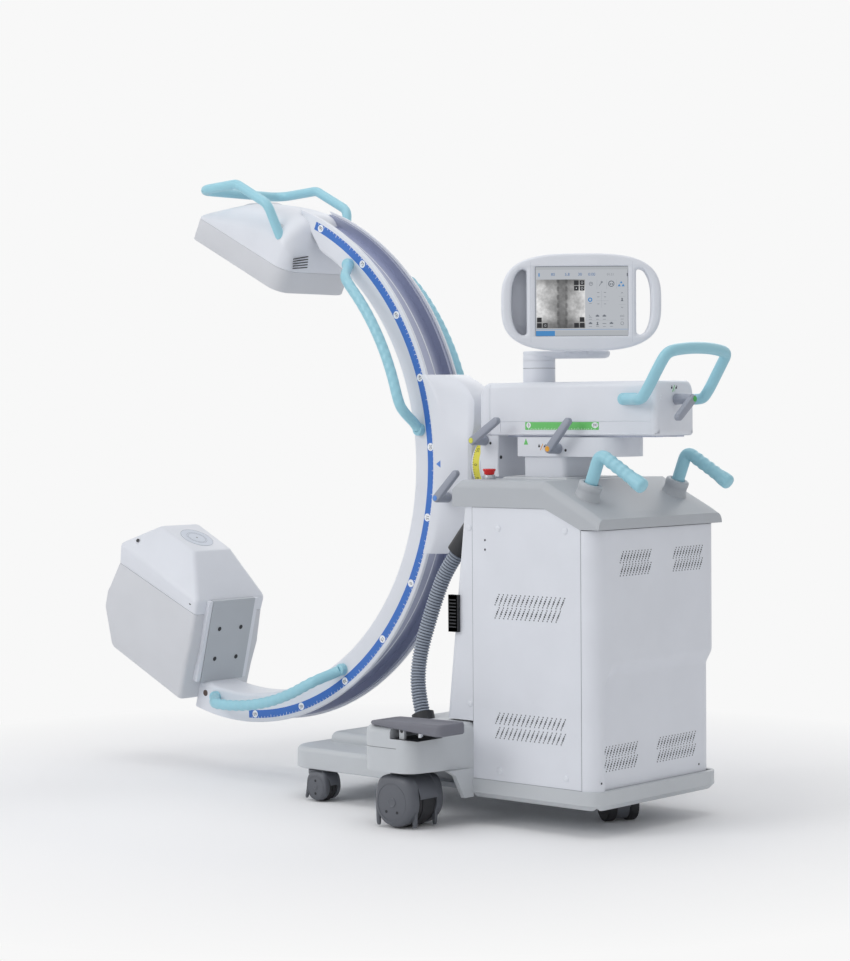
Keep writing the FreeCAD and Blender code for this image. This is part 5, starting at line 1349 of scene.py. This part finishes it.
page = mesh_object("screen_page", lambda shape: add_tile(shape, -109.2, 110.2, -80.2, 84.2, 0))
finish_piece(page, lit("lcd_grey", "#C3C7CD"), "monitor", ["screen"])
frame_line = mesh_object("screen_frame", lambda shape: [add_tile(shape, *sides, 0.4)
                                                        for sides in ((-109.2, 110.2, 83.0, 84.2),
                                                                      (-109.2, -108.2, -80, 84), (109.2,
                                                                                                  110.2, -80,
                                                                                                  84),
                                                                      (-109.2, 110.2, -80.2, -79.4))])
finish_piece(frame_line, lit("lcd_edge_shade", "#7F858E", 0.6), "monitor")
strips = mesh_object("screen_strips", lambda shape: [
    add_tile(shape, -108, 110, 76.5, 83, 1), add_tile(shape, -62.5, 110, -79.4, -67.5, 1)])
finish_piece(strips, lit("lcd_strip_grey", "#B9BDC2"), "monitor")
blue_parts = mesh_object("screen_blue_parts", lambda shape: [
    add_tile(shape, -108, -63.2, -79.4, -67.5, 2), add_tile(shape, -108, 110, -65.0, -64.2, 2),
    add_page_ring(shape, 20.3, 5.3, 2.6, 5.2, 28),
    add_tile(shape, -101.5, -98.7, 60.5, 68.5, 2),
    add_page_dot(shape, 93.8, 45.5, 3.6, 3), add_page_dot(shape, 89.2, 38.4, 4.2, 3),
    add_page_dot(shape, 98.4, 38.4, 4.2, 3)])
finish_piece(blue_parts, lit("lcd_blue", "#3F8CCB"), "monitor")
blue_words = joined("screen_values", [words("value", text, 0.0098, on_page(x, 64.9, 2), 0.00004)
                                      for text, x in (("80", -67.3), ("5.8", -33.6), ("30", -3.5),
                                                      ("0:00", 24.3))])
finish_piece(blue_words, lit("lcd_deep_blue", "#3A6FA8"), "monitor")
grey_words = joined("screen_clock", [words("value", "01:21", 0.0078, on_page(68.6, 64.6, 2), 0.00004)])
finish_piece(grey_words, lit("lcd_text_grey", "#8A8F97"), "monitor")


def fill_icons(shape):
    """Generic line icons: a few rings, bars and arrows in three groups."""
    for x, y, inner, outer, sides in ((22.3, 42.7, 3.6, 4.6, 24), (22.3, 44.7, 1.8, 2.8, 24),
                                      (47.8, 46.6, 1.4, 2.4, 20), (70.4, 42.7, 5.4, 7.4, 32),
                                      (93.2, -33.5, 1.6, 2.2, 18), (98.4, -33.5, 1.6, 2.2, 18),
                                      (95.8, -50.8, 3.2, 4.0, 20)):
        add_page_ring(shape, x, y, inner, outer, sides)
    for x, y in ((68.0, 42.0), (72.8, 42.0)):
        add_page_dot(shape, x, y, 1.8, 16)
    for x, y in ((95.8, 5.8), (37.4, -50.6)):
        add_page_dot(shape, x, y + 1.6, 1.9, 18)
        add_page_dot(shape, x, y - 2.4, 3.8, 3)
    for x, y, length, width, lean in ((45.2, 42.7, 13, 1.2, -35), (94.6, 21, 3.6, 0.8, -45),
                                      (97.0, 21, 3.6, 0.8, 45), (94.6, -13.4, 3.6, 0.8, 45),
                                      (97.0, -13.4, 3.6, 0.8, -45), (19, -33, 6, 0.8, 30)):
        add_slash(shape, on_page(x, y, 2), 0, 0, length / 1000, width / 1000, lean)
    for x, y in ((39.6, 22.2), (55.4, 22.2), (39.6, 11.8), (55.4, 11.8), (39.6, -4.8), (55.4, -4.8)):
        add_tile(shape, x - 2.6, x + 2.6, y - 0.5, y + 0.5, 2)
    for x, y in ((37.4, -33.5), (53.7, -33.5), (20.8, -50.8), (70.4, -50.8)):
        add_tile(shape, x - 4.2, x + 4.2, y - 1.4, y + 1.6, 2)
        add_tile(shape, x - 2.2, x + 2.0, y + 1.6, y + 3.4, 2)
    for x, y in ((20.8, -3.4), (20.8, -41), (37.4, -41), (53.7, -41), (20.8, -58), (37.4, -58), (53.7, -58),
                 (70.4, -58), (95.8, -41)):
        add_tile(shape, x - 3.4, x + 3.4, y - 0.4, y + 0.4, 2)
    for x0, x1, y0, y1 in ((49.2, 58.2, -51.6, -50.4), (17.0, 24.6, -36.6, -35.8), (107.0, 109.6, 60, 68)):
        add_tile(shape, x0, x1, y0, y1, 2)


finish_piece(mesh_object("screen_icons", fill_icons), lit("lcd_icon_grey", "#6D737C"), "monitor")
rules = mesh_object("screen_rules", lambda shape: [add_tile(shape, x - 0.25, x + 0.25, 30, 53, 1)
                                                   for x in (36.5, 59.5, 82.5)]
                    + [add_tile(shape, 47.1, 47.6, -14, 26, 1), add_tile(shape, 34, 64, 2.6, 3.1, 1),
                       add_tile(shape, 88, 104, 12.4, 12.9, 1), add_tile(shape, 88, 104, -6.4, -5.9, 1),
                       add_tile(shape, 10, 82, -43.6, -43.2, 1)])
finish_piece(rules, lit("lcd_rule_grey", "#A3A8B0"), "monitor")
tiles = mesh_object("screen_black_tiles",
                    lambda shape: [add_tile(shape, x - 5.6, x + 5.6, y - 5.6, y + 5.6, 3)
                                   for x, y in ((-12.1, 45.6), (1.4, 45.6), (-12.1, 32.6), (1.4, 32.6),
                                                (-99.9, -41.6), (-99.9, -54.8), (-86, -54.8), (1.0, -41.3),
                                                (-12.1, -54.8), (1.2, -54.8))])
finish_piece(tiles, lit("lcd_black", "#15181D", 0.5), "monitor")
marks = mesh_object("screen_tile_marks", lambda shape: [
    add_page_dot(shape, -12.1, 32.6, 1.3, 16, 4), add_page_ring(shape, 1.4, 32.6, 2.2, 3, 20, 4),
    add_page_ring(shape, 1.4, 45.6, 1.8, 2.4, 20, 4), add_page_ring(shape, -86, -54.8, 1.8, 2.4, 20, 4)])
finish_piece(marks, lit("lcd_white", "#DDE0E4"), "monitor")


def spine_picture():
    """An X-ray of a spine: bright tissue and a dark column of joints, from noise and waves."""
    material, tree = empty_material("lcd_xray_picture")
    place = add_node(tree, "ShaderNodeUVMap", uv_map="page")
    flat = add_node(tree, "ShaderNodeSeparateXYZ", [(0, place.outputs[0])])

    def math_node(operation, a, b=None):
        node = add_node(tree, "ShaderNodeMath", operation=operation)
        for socket, value in zip(node.inputs, (a, b)):
            if isinstance(value, (int, float)):
                socket.default_value = value
            elif value is not None:
                tree.links.new(value, socket)
        return node.outputs[0]

    def ramp(value, low, high, to_low, to_high):
        node = add_node(tree, "ShaderNodeMapRange", [("Value", value)], interpolation_type="SMOOTHSTEP")
        for label, number in (("From Min", low), ("From Max", high), ("To Min", to_low), ("To Max", to_high)):
            node.inputs[label].default_value = number
        return node.outputs[0]

    u, v = flat.outputs[0], flat.outputs[1]
    clouds = add_node(tree, "ShaderNodeTexNoise", [("Vector", place.outputs[0])], Scale=3.2, Detail=3.0,
                      Roughness=0.45)
    fine = add_node(tree, "ShaderNodeTexNoise", [("Vector", place.outputs[0])], Scale=16.0, Detail=4.0)
    off_middle = math_node("ABSOLUTE", math_node("SUBTRACT", u, 0.53))
    tissue = ramp(off_middle, 0.05, 0.5, 0.34, 0.78)
    tissue = math_node("MULTIPLY", tissue, ramp(clouds.outputs[0], 0.3, 0.7, 0.72, 1.25))
    tissue = math_node("MULTIPLY", tissue, ramp(v, 0.78, 1.0, 1.0, 0.5))
    tissue = math_node("MULTIPLY", tissue, ramp(v, 0.0, 0.28, 0.38, 1.0))
    joints = math_node("SINE", math_node("MULTIPLY", v, 37.0))
    body_edge = ramp(math_node("ADD", off_middle, math_node("MULTIPLY", joints, 0.012)), 0.085, 0.125, 0.62,
                     1.0)
    lobes = ramp(math_node("ABSOLUTE", math_node("SUBTRACT", off_middle, 0.082)), 0.0, 0.035, 0.0, 1.0)
    knobs = math_node("MAXIMUM", lobes, ramp(joints, -0.2, 0.7, 0.45, 1.0))
    shade = math_node("MULTIPLY", math_node("MULTIPLY", tissue, body_edge), ramp(knobs, 0.0, 1.0, 0.45, 1.0))
    shade = math_node("MULTIPLY", shade, ramp(fine.outputs[0], 0.3, 0.7, 0.86, 1.1))
    tone = add_node(tree, "ShaderNodeCombineColor", [(0, shade), (1, shade), (2, shade)])
    shader = add_node(tree, "ShaderNodeBsdfPrincipled", [("Emission Color", tone.outputs[0])],
                      Base_Color=linear("#0C0E12"), Roughness=0.3)
    shader.inputs["Emission Strength"].default_value = 0.82
    add_node(tree, "ShaderNodeOutputMaterial", [("Surface", shader.outputs[0])])
    return material


picture_x0, picture_x1, picture_y0, picture_y1 = -106.6, 8.5, -61.7, 53.4
picture = mesh_object("screen_picture", lambda shape: add_tile(shape, picture_x0, picture_x1, picture_y0,
                                                               picture_y1, 1))
to_page = face_frame.inverted()
page_uv = picture.data.uv_layers.new(name="page")
for loop in picture.data.loops:
    at = to_page @ picture.data.vertices[loop.vertex_index].co * 1000
    page_uv.data[loop.index].uv = ((at.x - picture_x0) / (picture_x1 - picture_x0),
                                   (at.y - picture_y0) / (picture_y1 - picture_y0))
finish_piece(picture, spine_picture(), "monitor")

# Top cover: thick grey ABS with a flared collar round each push handle. The E-stop is a flared red
# head on a grey collar. The push handles are steel bars in the blue coat, with shallow waves under
# the fingers and a thick round end.


push_y, push_base, push_apex, push_end = 170.0, (643.5, 761.0), (688.0, 876.0), (812.0, 800.0)
push_rise = Vector((push_apex[0] - push_base[0], 0, push_apex[1] - push_base[1])).normalized()
collar_profile = ((44, -22), (40, -8), (33.5, 6), (29.5, 18), (27.6, 28), (27.0, 34), (27.6, 35.5),
                  (28.2, 38), (28.2, 46), (27.2, 49), (25.0, 50.6), (18.6, 51.2), (17.4, 50.2), (17.2, 46))
collars = mesh_object("push_handle_collars",
                      lambda shape: [add_lathe(shape,
                                               frame_at(stand(push_base[0], side * push_y, push_base[1]),
                                                        (0, 1, 0), push_rise), collar_profile, 64)
                                     for side in (-1, 1)])
finish_piece(collars, grey_abs, "chassis", (), 0.9)
path_step = 2.5


def fill_push_handles(shape):
    """The two bars, with waves under the fingers and a thick round end."""
    for side in (-1, 1):
        y = side * push_y
        apex = Vector((push_apex[0], y, push_apex[1]))
        into = Vector((push_base[0], y, push_base[1])) - apex
        away = Vector((push_end[0], y, push_end[1])) - apex
        bend = 44.0
        control = [apex + into, apex + into.normalized() * bend, apex, apex + away.normalized() * bend, apex
                   + away]
        path = even_points(spline_points([stand(*p) for p in control], 20), path_step / 1000)
        count = len(path)

        def section(i):
            left = (count - 1 - i) * path_step
            radius = 15.2
            if left < 44:
                radius += 2.6 * (0.5 - 0.5 * math.cos(math.pi * min(1.0, (44 - left) / 24)))
            elif 46 < left < 122:
                radius += 0.8 * math.sin(2 * math.pi * (left - 46) / 19)
            if left < 9:
                radius = (radius - 9) + math.sqrt(max(0.0, 81 - (9 - left) ** 2))
            return radius / 1000, radius / 1000
        add_tube(shape, path, section, 36)


finish_piece(mesh_object("push_grips", fill_push_handles), handle_coat, "chassis",
             ["push_handles"], 0.8)
estop_axes = top_frame(360, -175, 0)
estop_head = mesh_object("estop_head",
                         lambda shape: add_lathe(shape, estop_axes,
                                                 ((8, 820.2), (8, 824), (11.6, 824.4), (12.2, 826),
                                                  (12.8, 830), (14.4, 833.2), (15.4, 834.6), (15.6, 836.6),
                                                  (14.9, 837.8), (12.0, 838.2), (9, 837.6), (6, 837.2)),
                                                 56))
finish_piece(estop_head, estop_red, "estop", ["estop_button"], 0.8)
estop_collar = mesh_object("estop_collar",
                           lambda shape: add_lathe(shape, estop_axes,
                                                   ((17, 812.6), (17, 814), (15.4, 814.8), (14.4, 815.2),
                                                    (14.4, 822.2), (13.9, 823.2), (13.4, 823.4),
                                                    (13.1, 822.8), (13.1, 815.0)), 56))
finish_piece(estop_collar, metal("satin_cast_collar", "#A8ACB2", 0.4, (1.0, 1.0, 1.0)), "chassis",
             (), 0.6)

# Cabinet: flat ABS side panels held by screws under white caps, a tapered front cover, and a rear cover
# with a wide hollow moulded into its lower part. Fine joints run between the covers, and rows of
# small round holes, slanted like the strokes of a hatch, let the warm air out.

cabinet_half, cover_back, cover_top, cover_low, side_join = 240.0, 729.0, 702.0, 108.0, 684.0
hollow_depth, hollow_y, hollow_z, hollow_round = 14.0, -212.0, 404.0, 62.0
hollow_soft_side, hollow_soft_top = 15.0, 42.0


def hollow_share(y, z):
    """How deep the rear cover's hollow is at a place, from 0 to 1, with soft edges."""
    across_y, down_z = y - hollow_y, hollow_z - z
    if across_y <= 0 or down_z <= 0:
        return 0.0
    if across_y < hollow_round and down_z < hollow_round:
        depth = hollow_round - math.hypot(hollow_round - across_y, hollow_round - down_z)
        turn = math.atan2(hollow_round - down_z, hollow_round - across_y) / (math.pi / 2)
    else:
        depth = min(across_y, down_z)
        turn = 1.0 if down_z < across_y else 0.0
    share = max(0.0, min(1.0, depth / (hollow_soft_side + (hollow_soft_top - hollow_soft_side) * turn)))
    return share * share * (3 - 2 * share)


def rear_ring(z):
    """One slice of the rear cover: its bent outline, moved in where the hollow is."""
    radius = 42.0
    points = []
    edge = 0.5
    steps = [-cabinet_half + radius + 3.0 * k for k in range(1, 132)]
    flat = [(cover_back, y, 0.0) for y in steps if y < cabinet_half - radius]
    near = [(cover_back - radius + radius * math.sin(a), -cabinet_half + radius - radius * math.cos(a),
             math.pi / 2 - a) for a in (math.pi / 2 * k / 12 for k in range(13))]
    far = [(x, -y, turn) for x, y, turn in near[::-1]]
    outline = ([(side_join + 0.4, -cabinet_half + edge, 9.0), (side_join + 1.0, -cabinet_half, 9.0)] + near
               + flat + far + [(side_join + 1.0, cabinet_half, 9.0),
                               (side_join + 0.4, cabinet_half - edge, 9.0)])
    for x, y, turn in outline:
        share = 0.0
        if turn < 9.0:
            fade = 1.0 if turn < 0.9 else max(0.0, 1 - (turn - 0.9) / (math.pi / 2 - 0.9))
            share = hollow_share(y, z) * fade * fade * (3 - 2 * fade)
        out = Vector((math.cos(turn), math.copysign(math.sin(turn), y), 0)) if turn < 9.0 else Vector(
            (0, 0, 0))
        points.append(stand(x - out.x * hollow_depth * share, y - out.y * hollow_depth * share, z))
    return points


rear_levels = ([cover_low, cover_low + 0.8] + [cover_low + 6.0 * k for k in range(1, 42)]
               + [358.0 + 3.0 * k for k in range(17)] + [418.0 + 12.0 * k for k in range(24)] + [cover_top])
rear_cover = mesh_object("rear_cover_shell",
                         lambda shape: add_loft(shape, [rear_ring(z) for z in rear_levels]))
finish_piece(rear_cover, white_lacquer, "chassis", ["rear_cover"], 0.7)

cap = mesh_object("cap", lambda shape: add_lathe(shape, Matrix(),
                                                 ((8, 0), (7.8, 1.2), (6.4, 2.3), (3.6, 2.8), (0.6, 3.0)),
                                                 32))
cap_places = [(441, 700.5), (639, 700.5), (441, 132.5), (638.5, 132.5), (351, 700.5), (351, 283.5)]
repeated("panel_screw_caps", cap, [side_frame(x, side * (cabinet_half - 0.2), z, side)
                                   for x, z in cap_places for side in (-1, 1)], white_lacquer, "chassis",
         ["panel_caps"])
hole = mesh_object("hole", lambda shape: add_disc(shape, Matrix(), 0.001, 0.00035, 10, 0.00096))
hole_rows = ((-12.25, 1.6), (-7.35, 1.7), (-2.45, 2.3), (2.45, 2.3), (7.35, 1.7), (12.25, 1.6))
row_shift = 2.5


def vent_places(place_at, start, end, middle, pitch):
    """Hole frames for one band of a vent. place_at turns a distance and a height into a frame."""
    places = []
    columns = int((end - start - row_shift * len(hole_rows)) / pitch) + 1
    for row, (rise_mm, radius) in enumerate(hole_rows):
        size = Matrix.Diagonal((radius, radius, 1, 1))
        places += [place_at(start + pitch * k + row_shift * row, middle + rise_mm) @ size
                   for k in range(columns)]
    return places


side_bands = ((430, 646, 534), (430, 637, 503), (430, 644, 256), (430, 644, 222))
rear_bands = ((-151, -27, 639, 0.0), (-151, -27, 609, 0.0), (55, 187, 639, 0.0), (55, 187, 609, 0.0),
              (-200, -58, 194, 14.0), (-200, -58, 163, 14.0), (8, 165, 194, 14.0), (8, 165, 163, 14.0))
vents = []
for side in (-1, 1):
    for start, end, middle in side_bands:
        vents += vent_places(lambda x, z: side_frame(x, side * cabinet_half, z, side), start, end, middle,
                             13.0)
for start, end, middle, sunk in rear_bands:
    vents += vent_places(lambda y, z: rear_frame(cover_back - sunk, y, z), start, end, middle,
                         11.8)
repeated("vent_holes", hole, vents, flat_ink("dark_vent_bore", "#2A2C31", 0.8), "chassis")
pilot = mesh_object("pilot", lambda shape: add_disc(shape, Matrix(), 0.0026, 0.0004, 20))
repeated("panel_pilot_holes", pilot, [side_frame(400.3, -cabinet_half, z, -1) for z in (672.4, 650.1)]
         + [rear_frame(cover_back - 2.0, y, z) for y, z in ((-222, 128.3),)]
         + [rear_frame(cover_back - hollow_depth, y, z) for y, z in ((176, 126),)],
         flat_ink("dark_bore", "#3A3D44", 0.7), "chassis")


def fill_cabinet_joints(shape):
    """Thin dark joints: upright between the covers, level above the skirt."""
    for side in (-1, 1):
        for x, low, high in ((361, 240.5, 750), (684, 108.5, 703)):
            add_block(shape, side_frame(x, side * 240.03, (low + high) / 2, side), 0.0009,
                      (high - low) / 1000, 0.0003)
        add_block(shape, side_frame(523, side * 240.1, 108.2, side), 0.324, 0.0014, 0.0006)
        add_block(shape, side_frame(471, side * 240.2, 749.6, side), 0.220, 0.0014, 0.0006)


finish_piece(mesh_object("cabinet_joints", fill_cabinet_joints),
             flat_ink("cover_joint_shade", "#8E9197", 0.7), "chassis")

# Socket box: a black polyamide connector box on the front cover, with a ribbed lid.

socket_box = mesh_object("front_socket_box", lambda shape: [
    add_block(shape, side_frame(307, -244, 496, -1), 0.028, 0.088, 0.012)]
    + [add_block(shape, side_frame(307, -250.4, 464 + 8 * k, -1), 0.022, 0.003, 0.0016) for k in range(9)])
finish_piece(socket_box, black_nylon_and_painted_shade, "chassis")

# Base: thick grey covers. The shoulder cover has a joint all round it, and its pedals are dished
# rubber covered levers on steel pins.

shoulder_front, shoulder_back, shoulder_half, shoulder_round = 165.0, 320.0, 425.0, 42.0


def shoulder_loop(grow):
    """The outline of the shoulder cover, larger by grow, from the near cabinet side round to the far one."""
    corner_x, corner_y = shoulder_back - shoulder_round, -shoulder_half + shoulder_round
    points = [(360.0, -241.5 - grow)]
    points += [(corner_x + (shoulder_round + grow) * math.cos(a), corner_y
                + (shoulder_round + grow) * math.sin(a))
               for a in (math.radians(12 - 8.5 * k) for k in range(13))]
    corner_x = shoulder_front + shoulder_round
    points += [(corner_x + (shoulder_round + grow) * math.cos(a), corner_y
                + (shoulder_round + grow) * math.sin(a))
               for a in (math.radians(-90 - 7.5 * k) for k in range(13))]
    return points + [(x, -y) for x, y in points[::-1]]


shoulder_joint = mesh_object("shoulder_joint", lambda shape: add_loft(shape, [
    [stand(x, y, z) for x, y in shoulder_loop(0.25)] for z in (189.2, 190.6)]))
finish_piece(shoulder_joint, flat_ink("base_joint_shade", "#7C7F84", 0.7), "chassis")

pedal_x0, pedal_x1, pedal_half = 190.0, 420.0, 48.0


def add_pedal(shape, y0):
    """A pedal: a rim round a shallow dish, thin at its toe end and thick over its pin."""
    def under(x):
        share = max(0.0, min(1.0, (x - 255) / 60))
        return 241.2 - 13.2 * share * share * (3 - 2 * share)
    outer = round_plan(pedal_x0, pedal_x1, pedal_half, 26, 16, 8)
    rows = []
    for inset, height in ((3, None), (0, -3.0), (0, 8.0), (1.2, 13.4), (3.4, 15.2), (7.0, 15.4), (9.5, 14.4),
                          (12.0, 12.2), (14.0, 11.8)):
        ring = []
        for x, y in round_plan(pedal_x0 + inset, pedal_x1 - inset, pedal_half - inset, max(26 - inset, 8),
                               max(16 - inset, 5), 8):
            low = under(x)
            top_drop = 7.0 * max(0.0, 1 - (x - pedal_x0) / 70) ** 2
            if height is None:
                z = low
            elif height < 0:
                z = low + 3.0
            else:
                z = max(240 + height - top_drop, low + 3.2)
            ring.append(stand(x, y0 + y, z))
        rows.append(ring)
    add_loft(shape, rows)


for side, name in ((-1, "pedal_left"), (1, "pedal_right")):
    pedal = mesh_object(name + "_cover", lambda shape: [add_pedal(shape, side * 380),
                                                        add_disc(shape, side_frame(290, side * 380 - 26, 232,
                                                                                   1), 0.0075, 0.052, 32)])
    finish_piece(pedal, pedal_rubber, name, [name], 0.7)

chrome = metal("polished_pedal_link", "#C9CCD2", 0.18, (4.0, 4.0, 4.0))
for side, name in ((-1, "pedal_left"), (1, "pedal_right")):
    links = mesh_object(name + "_links",
                        lambda shape: [add_disc(shape, frame_at(stand(x, side * (380 + y), 221.5), (1, 0, 0),
                                                                (0, 0.12, 1)), 0.004, 0.0085, 24)
                                       for x, y in ((338, 20), (350, 38), (342, -20))])
    finish_piece(links, chrome, name)
# Painted shade: a thin black sheet at the bottom of each pedal well, standing in for the shade under the
# pedals.
shade = mesh_object("pedal_well_lining", lambda shape: [
    add_block(shape, top_frame(306, side * 380, 212.4), 0.084, 0.088, 0.0006) for side in (-1, 1)])
finish_piece(shade, black_nylon_and_painted_shade, "chassis")

# Casters: glass filled nylon hoods with round cheeks. Each wheel is a dark polyurethane tyre with a
# shoulder on each side. Prongs hang beside the large wheels and push cables out of the way.


def cheek_loop(radius, top, inset):
    """The side outline of a hood: round below, squarer above its axle, in X and Z from the axle."""
    points = []
    for k in range(48):
        a = 2 * math.pi * (k + 0.5) / 48
        c, s = math.cos(a), math.sin(a)
        if s < 0:
            points.append(((radius - inset) * c, (radius - inset) * s))
        else:
            power = 2 / (2 + 1.6 * s)
            points.append(((radius - inset) * math.copysign(abs(c) ** power, c),
                           (top - inset) * abs(s) ** power))
    return points


def add_cheek(shape, axle, radius, top, low_y, high_y, edge):
    """One cheek between two distances from the middle of the wheel, rounded towards the outside."""
    sign = 1 if high_y > 0 else -1
    rows = []
    for share, inset in ((0.0, 1.0), (0.04, 0.0), (0.45, 0.0), (0.66, 0.07), (0.82, 0.26), (0.94, 0.6),
                         (1.0, 1.0)):
        y = low_y + (high_y - low_y) * share
        rows.append([stand(axle[0] + x, axle[1] + y, axle[2] + z)
                     for x, z in cheek_loop(radius, top, inset * edge)])
    add_loft(shape, rows)


def add_bridge(shape, axle, inner, outer, half):
    """The part of a hood over its wheel, from cheek to cheek."""
    angles = [math.radians(8 + 164 * k / 24) for k in range(25)]
    section = [(outer * math.cos(a), outer * math.sin(a)) for a in angles] + [
        (inner * math.cos(a), inner * math.sin(a)) for a in angles[::-1]]
    add_loft(shape, [[stand(axle[0] + x, axle[1] + y, axle[2] + z) for x, z in section]
                     for y in (-half, half)])


def add_prong(shape, x, y, top, low, wide, thick, lean):
    """A hanging prong with a rounded foot, leaning along X."""
    rows = []
    for k in range(9):
        share = k / 8
        z = top + (low - top) * share
        shrink = 1.0 if share < 0.8 else 1 - 0.35 * ((share - 0.8) / 0.2) ** 2
        cx = x + lean * share ** 1.5
        rows.append([stand(cx + u * wide / 2 * shrink, y + v * thick / 2 * shrink, z)
                     for u, v in ((-1, -0.5), (-0.6, -1), (0.6, -1), (1, -0.5), (1, 0.5), (0.6, 1), (-0.6, 1),
                                  (-1, 0.5))])
    add_loft(shape, rows)


def add_face_details(shape, axle, y, sign, groove, boss):
    """The raised ring and the centre boss on a cheek's face."""
    face = side_frame(axle[0], axle[1] + y, axle[2], sign)
    add_annulus(shape, face, (groove - 0.8) / 1000, groove / 1000, 0.0007, 64)
    add_lathe(shape, face, ((boss, -1), (boss, 0.8), (boss - 1.4, 1.6), (boss - 3.2, 1.2), (2, 1.0)), 32)


def add_hood(shape, axle, size, cheek, edge, bridge, face):
    """A hood: two round cheeks with their raised rings, and the bridge over the wheel."""
    radius, top = size
    inner, outer = cheek
    for side in (-1, 1):
        add_cheek(shape, axle, radius, top, side * inner, side * outer, edge)
        add_face_details(shape, axle, side * outer, side, *face)
    add_bridge(shape, axle, *bridge)


def turned_wheel(name, axle, radius, half, body, node):
    """A tyre with a flat tread, a narrow groove and a lower shoulder on each side."""
    axes = side_frame(axle[0], axle[1], axle[2], 1)
    right = [(radius - 11, half), (radius - 5, half - 0.6), (radius - 2.6, half - 3),
             (radius - 2.0, half - 6), (radius - 3.4, half - 6.8), (radius - 3.4, half - 8.2),
             (radius - 0.6, half - 8.8), (radius, half - 10.6)]
    profile = [(r, -z) for r, z in right] + right[::-1]
    wheel = mesh_object(name, lambda shape: add_lathe(shape, axes, profile, 96))
    finish_piece(wheel, tread, body, [node], 0.5)


main_axle_x, main_y, main_r, front_axle_x, front_y, front_r = 262.0, 358.0, 62.0, -150.0, 222.0, 37.0
for name, side in (("left", -1), ("right", 1)):
    axle = (main_axle_x, side * main_y, main_r)

    def fill_main(shape):
        add_hood(shape, axle, (59.5, 63.5), (29.5, 62), 13, (63.4, 66.2, 31), (44.5, 12))
        add_disc(shape, side_frame(axle[0], axle[1] - 32, axle[2], 1), 0.008, 0.064, 24)
        add_disc(shape, top_frame(234, axle[1], 120), 0.024, 0.009, 40)
        for y, direction in ((-55, -1), (55, 1)):
            add_prong(shape, axle[0] - 49, axle[1] + y, 52, 5, 10.5, 9, 2)
        for y in (-35, 35):
            add_prong(shape, axle[0] + 50, axle[1] + y, 58, 4, 12, 10, -2)
    finish_piece(mesh_object("main_hood_" + name, fill_main), caster_nylon, "main_fork_" + name,
                 ["main_fork_" + name], 0.7)
    turned_wheel("main_tyre_" + name, axle, main_r, 28.0, "main_wheel_" + name, "main_wheel_" + name)
    bores = mesh_object("main_bores_" + name,
                        lambda shape: [add_disc(shape,
                                                side_frame(axle[0] + x, axle[1] + sign * 62, axle[2] - 22.5,
                                                           sign), 0.0036, 0.0006, 20) for x in (-17, 17)
                                       for sign in (-1, 1)])
    finish_piece(bores, black_nylon_and_painted_shade, "main_fork_" + name)
    small = (front_axle_x, side * front_y, front_r)

    def fill_front(shape):
        add_hood(shape, small, (34.5, 36.5), (13, 30), 6, (38.0, 39.6, 14), (28.5, 6.5))
        add_disc(shape, side_frame(small[0], small[1] - 14, small[2], 1), 0.008, 0.028, 24)
        add_disc(shape, top_frame(-175, small[1], 66), 0.02, 0.0105, 36)
        for y in (-22, 22):
            add_prong(shape, small[0] - 31, small[1] + y, 44, 6, 8, 8, -7)
    finish_piece(mesh_object("front_hood_" + name, fill_front), caster_nylon, "front_fork_" + name,
                 ["front_fork_" + name], 0.7)
    turned_wheel("front_tyre_" + name, small, front_r, 12.0, "front_wheel_" + name, "front_wheel_" + name)
    bores = mesh_object("front_bores_" + name, lambda shape: [
        add_disc(shape, side_frame(small[0], small[1] + sign * 30, small[2] + z, sign), 0.0034, 0.0006, 20)
        for z in (-16, 16) for sign in (-1, 1)])
    finish_piece(bores, black_nylon_and_painted_shade, "front_fork_" + name)
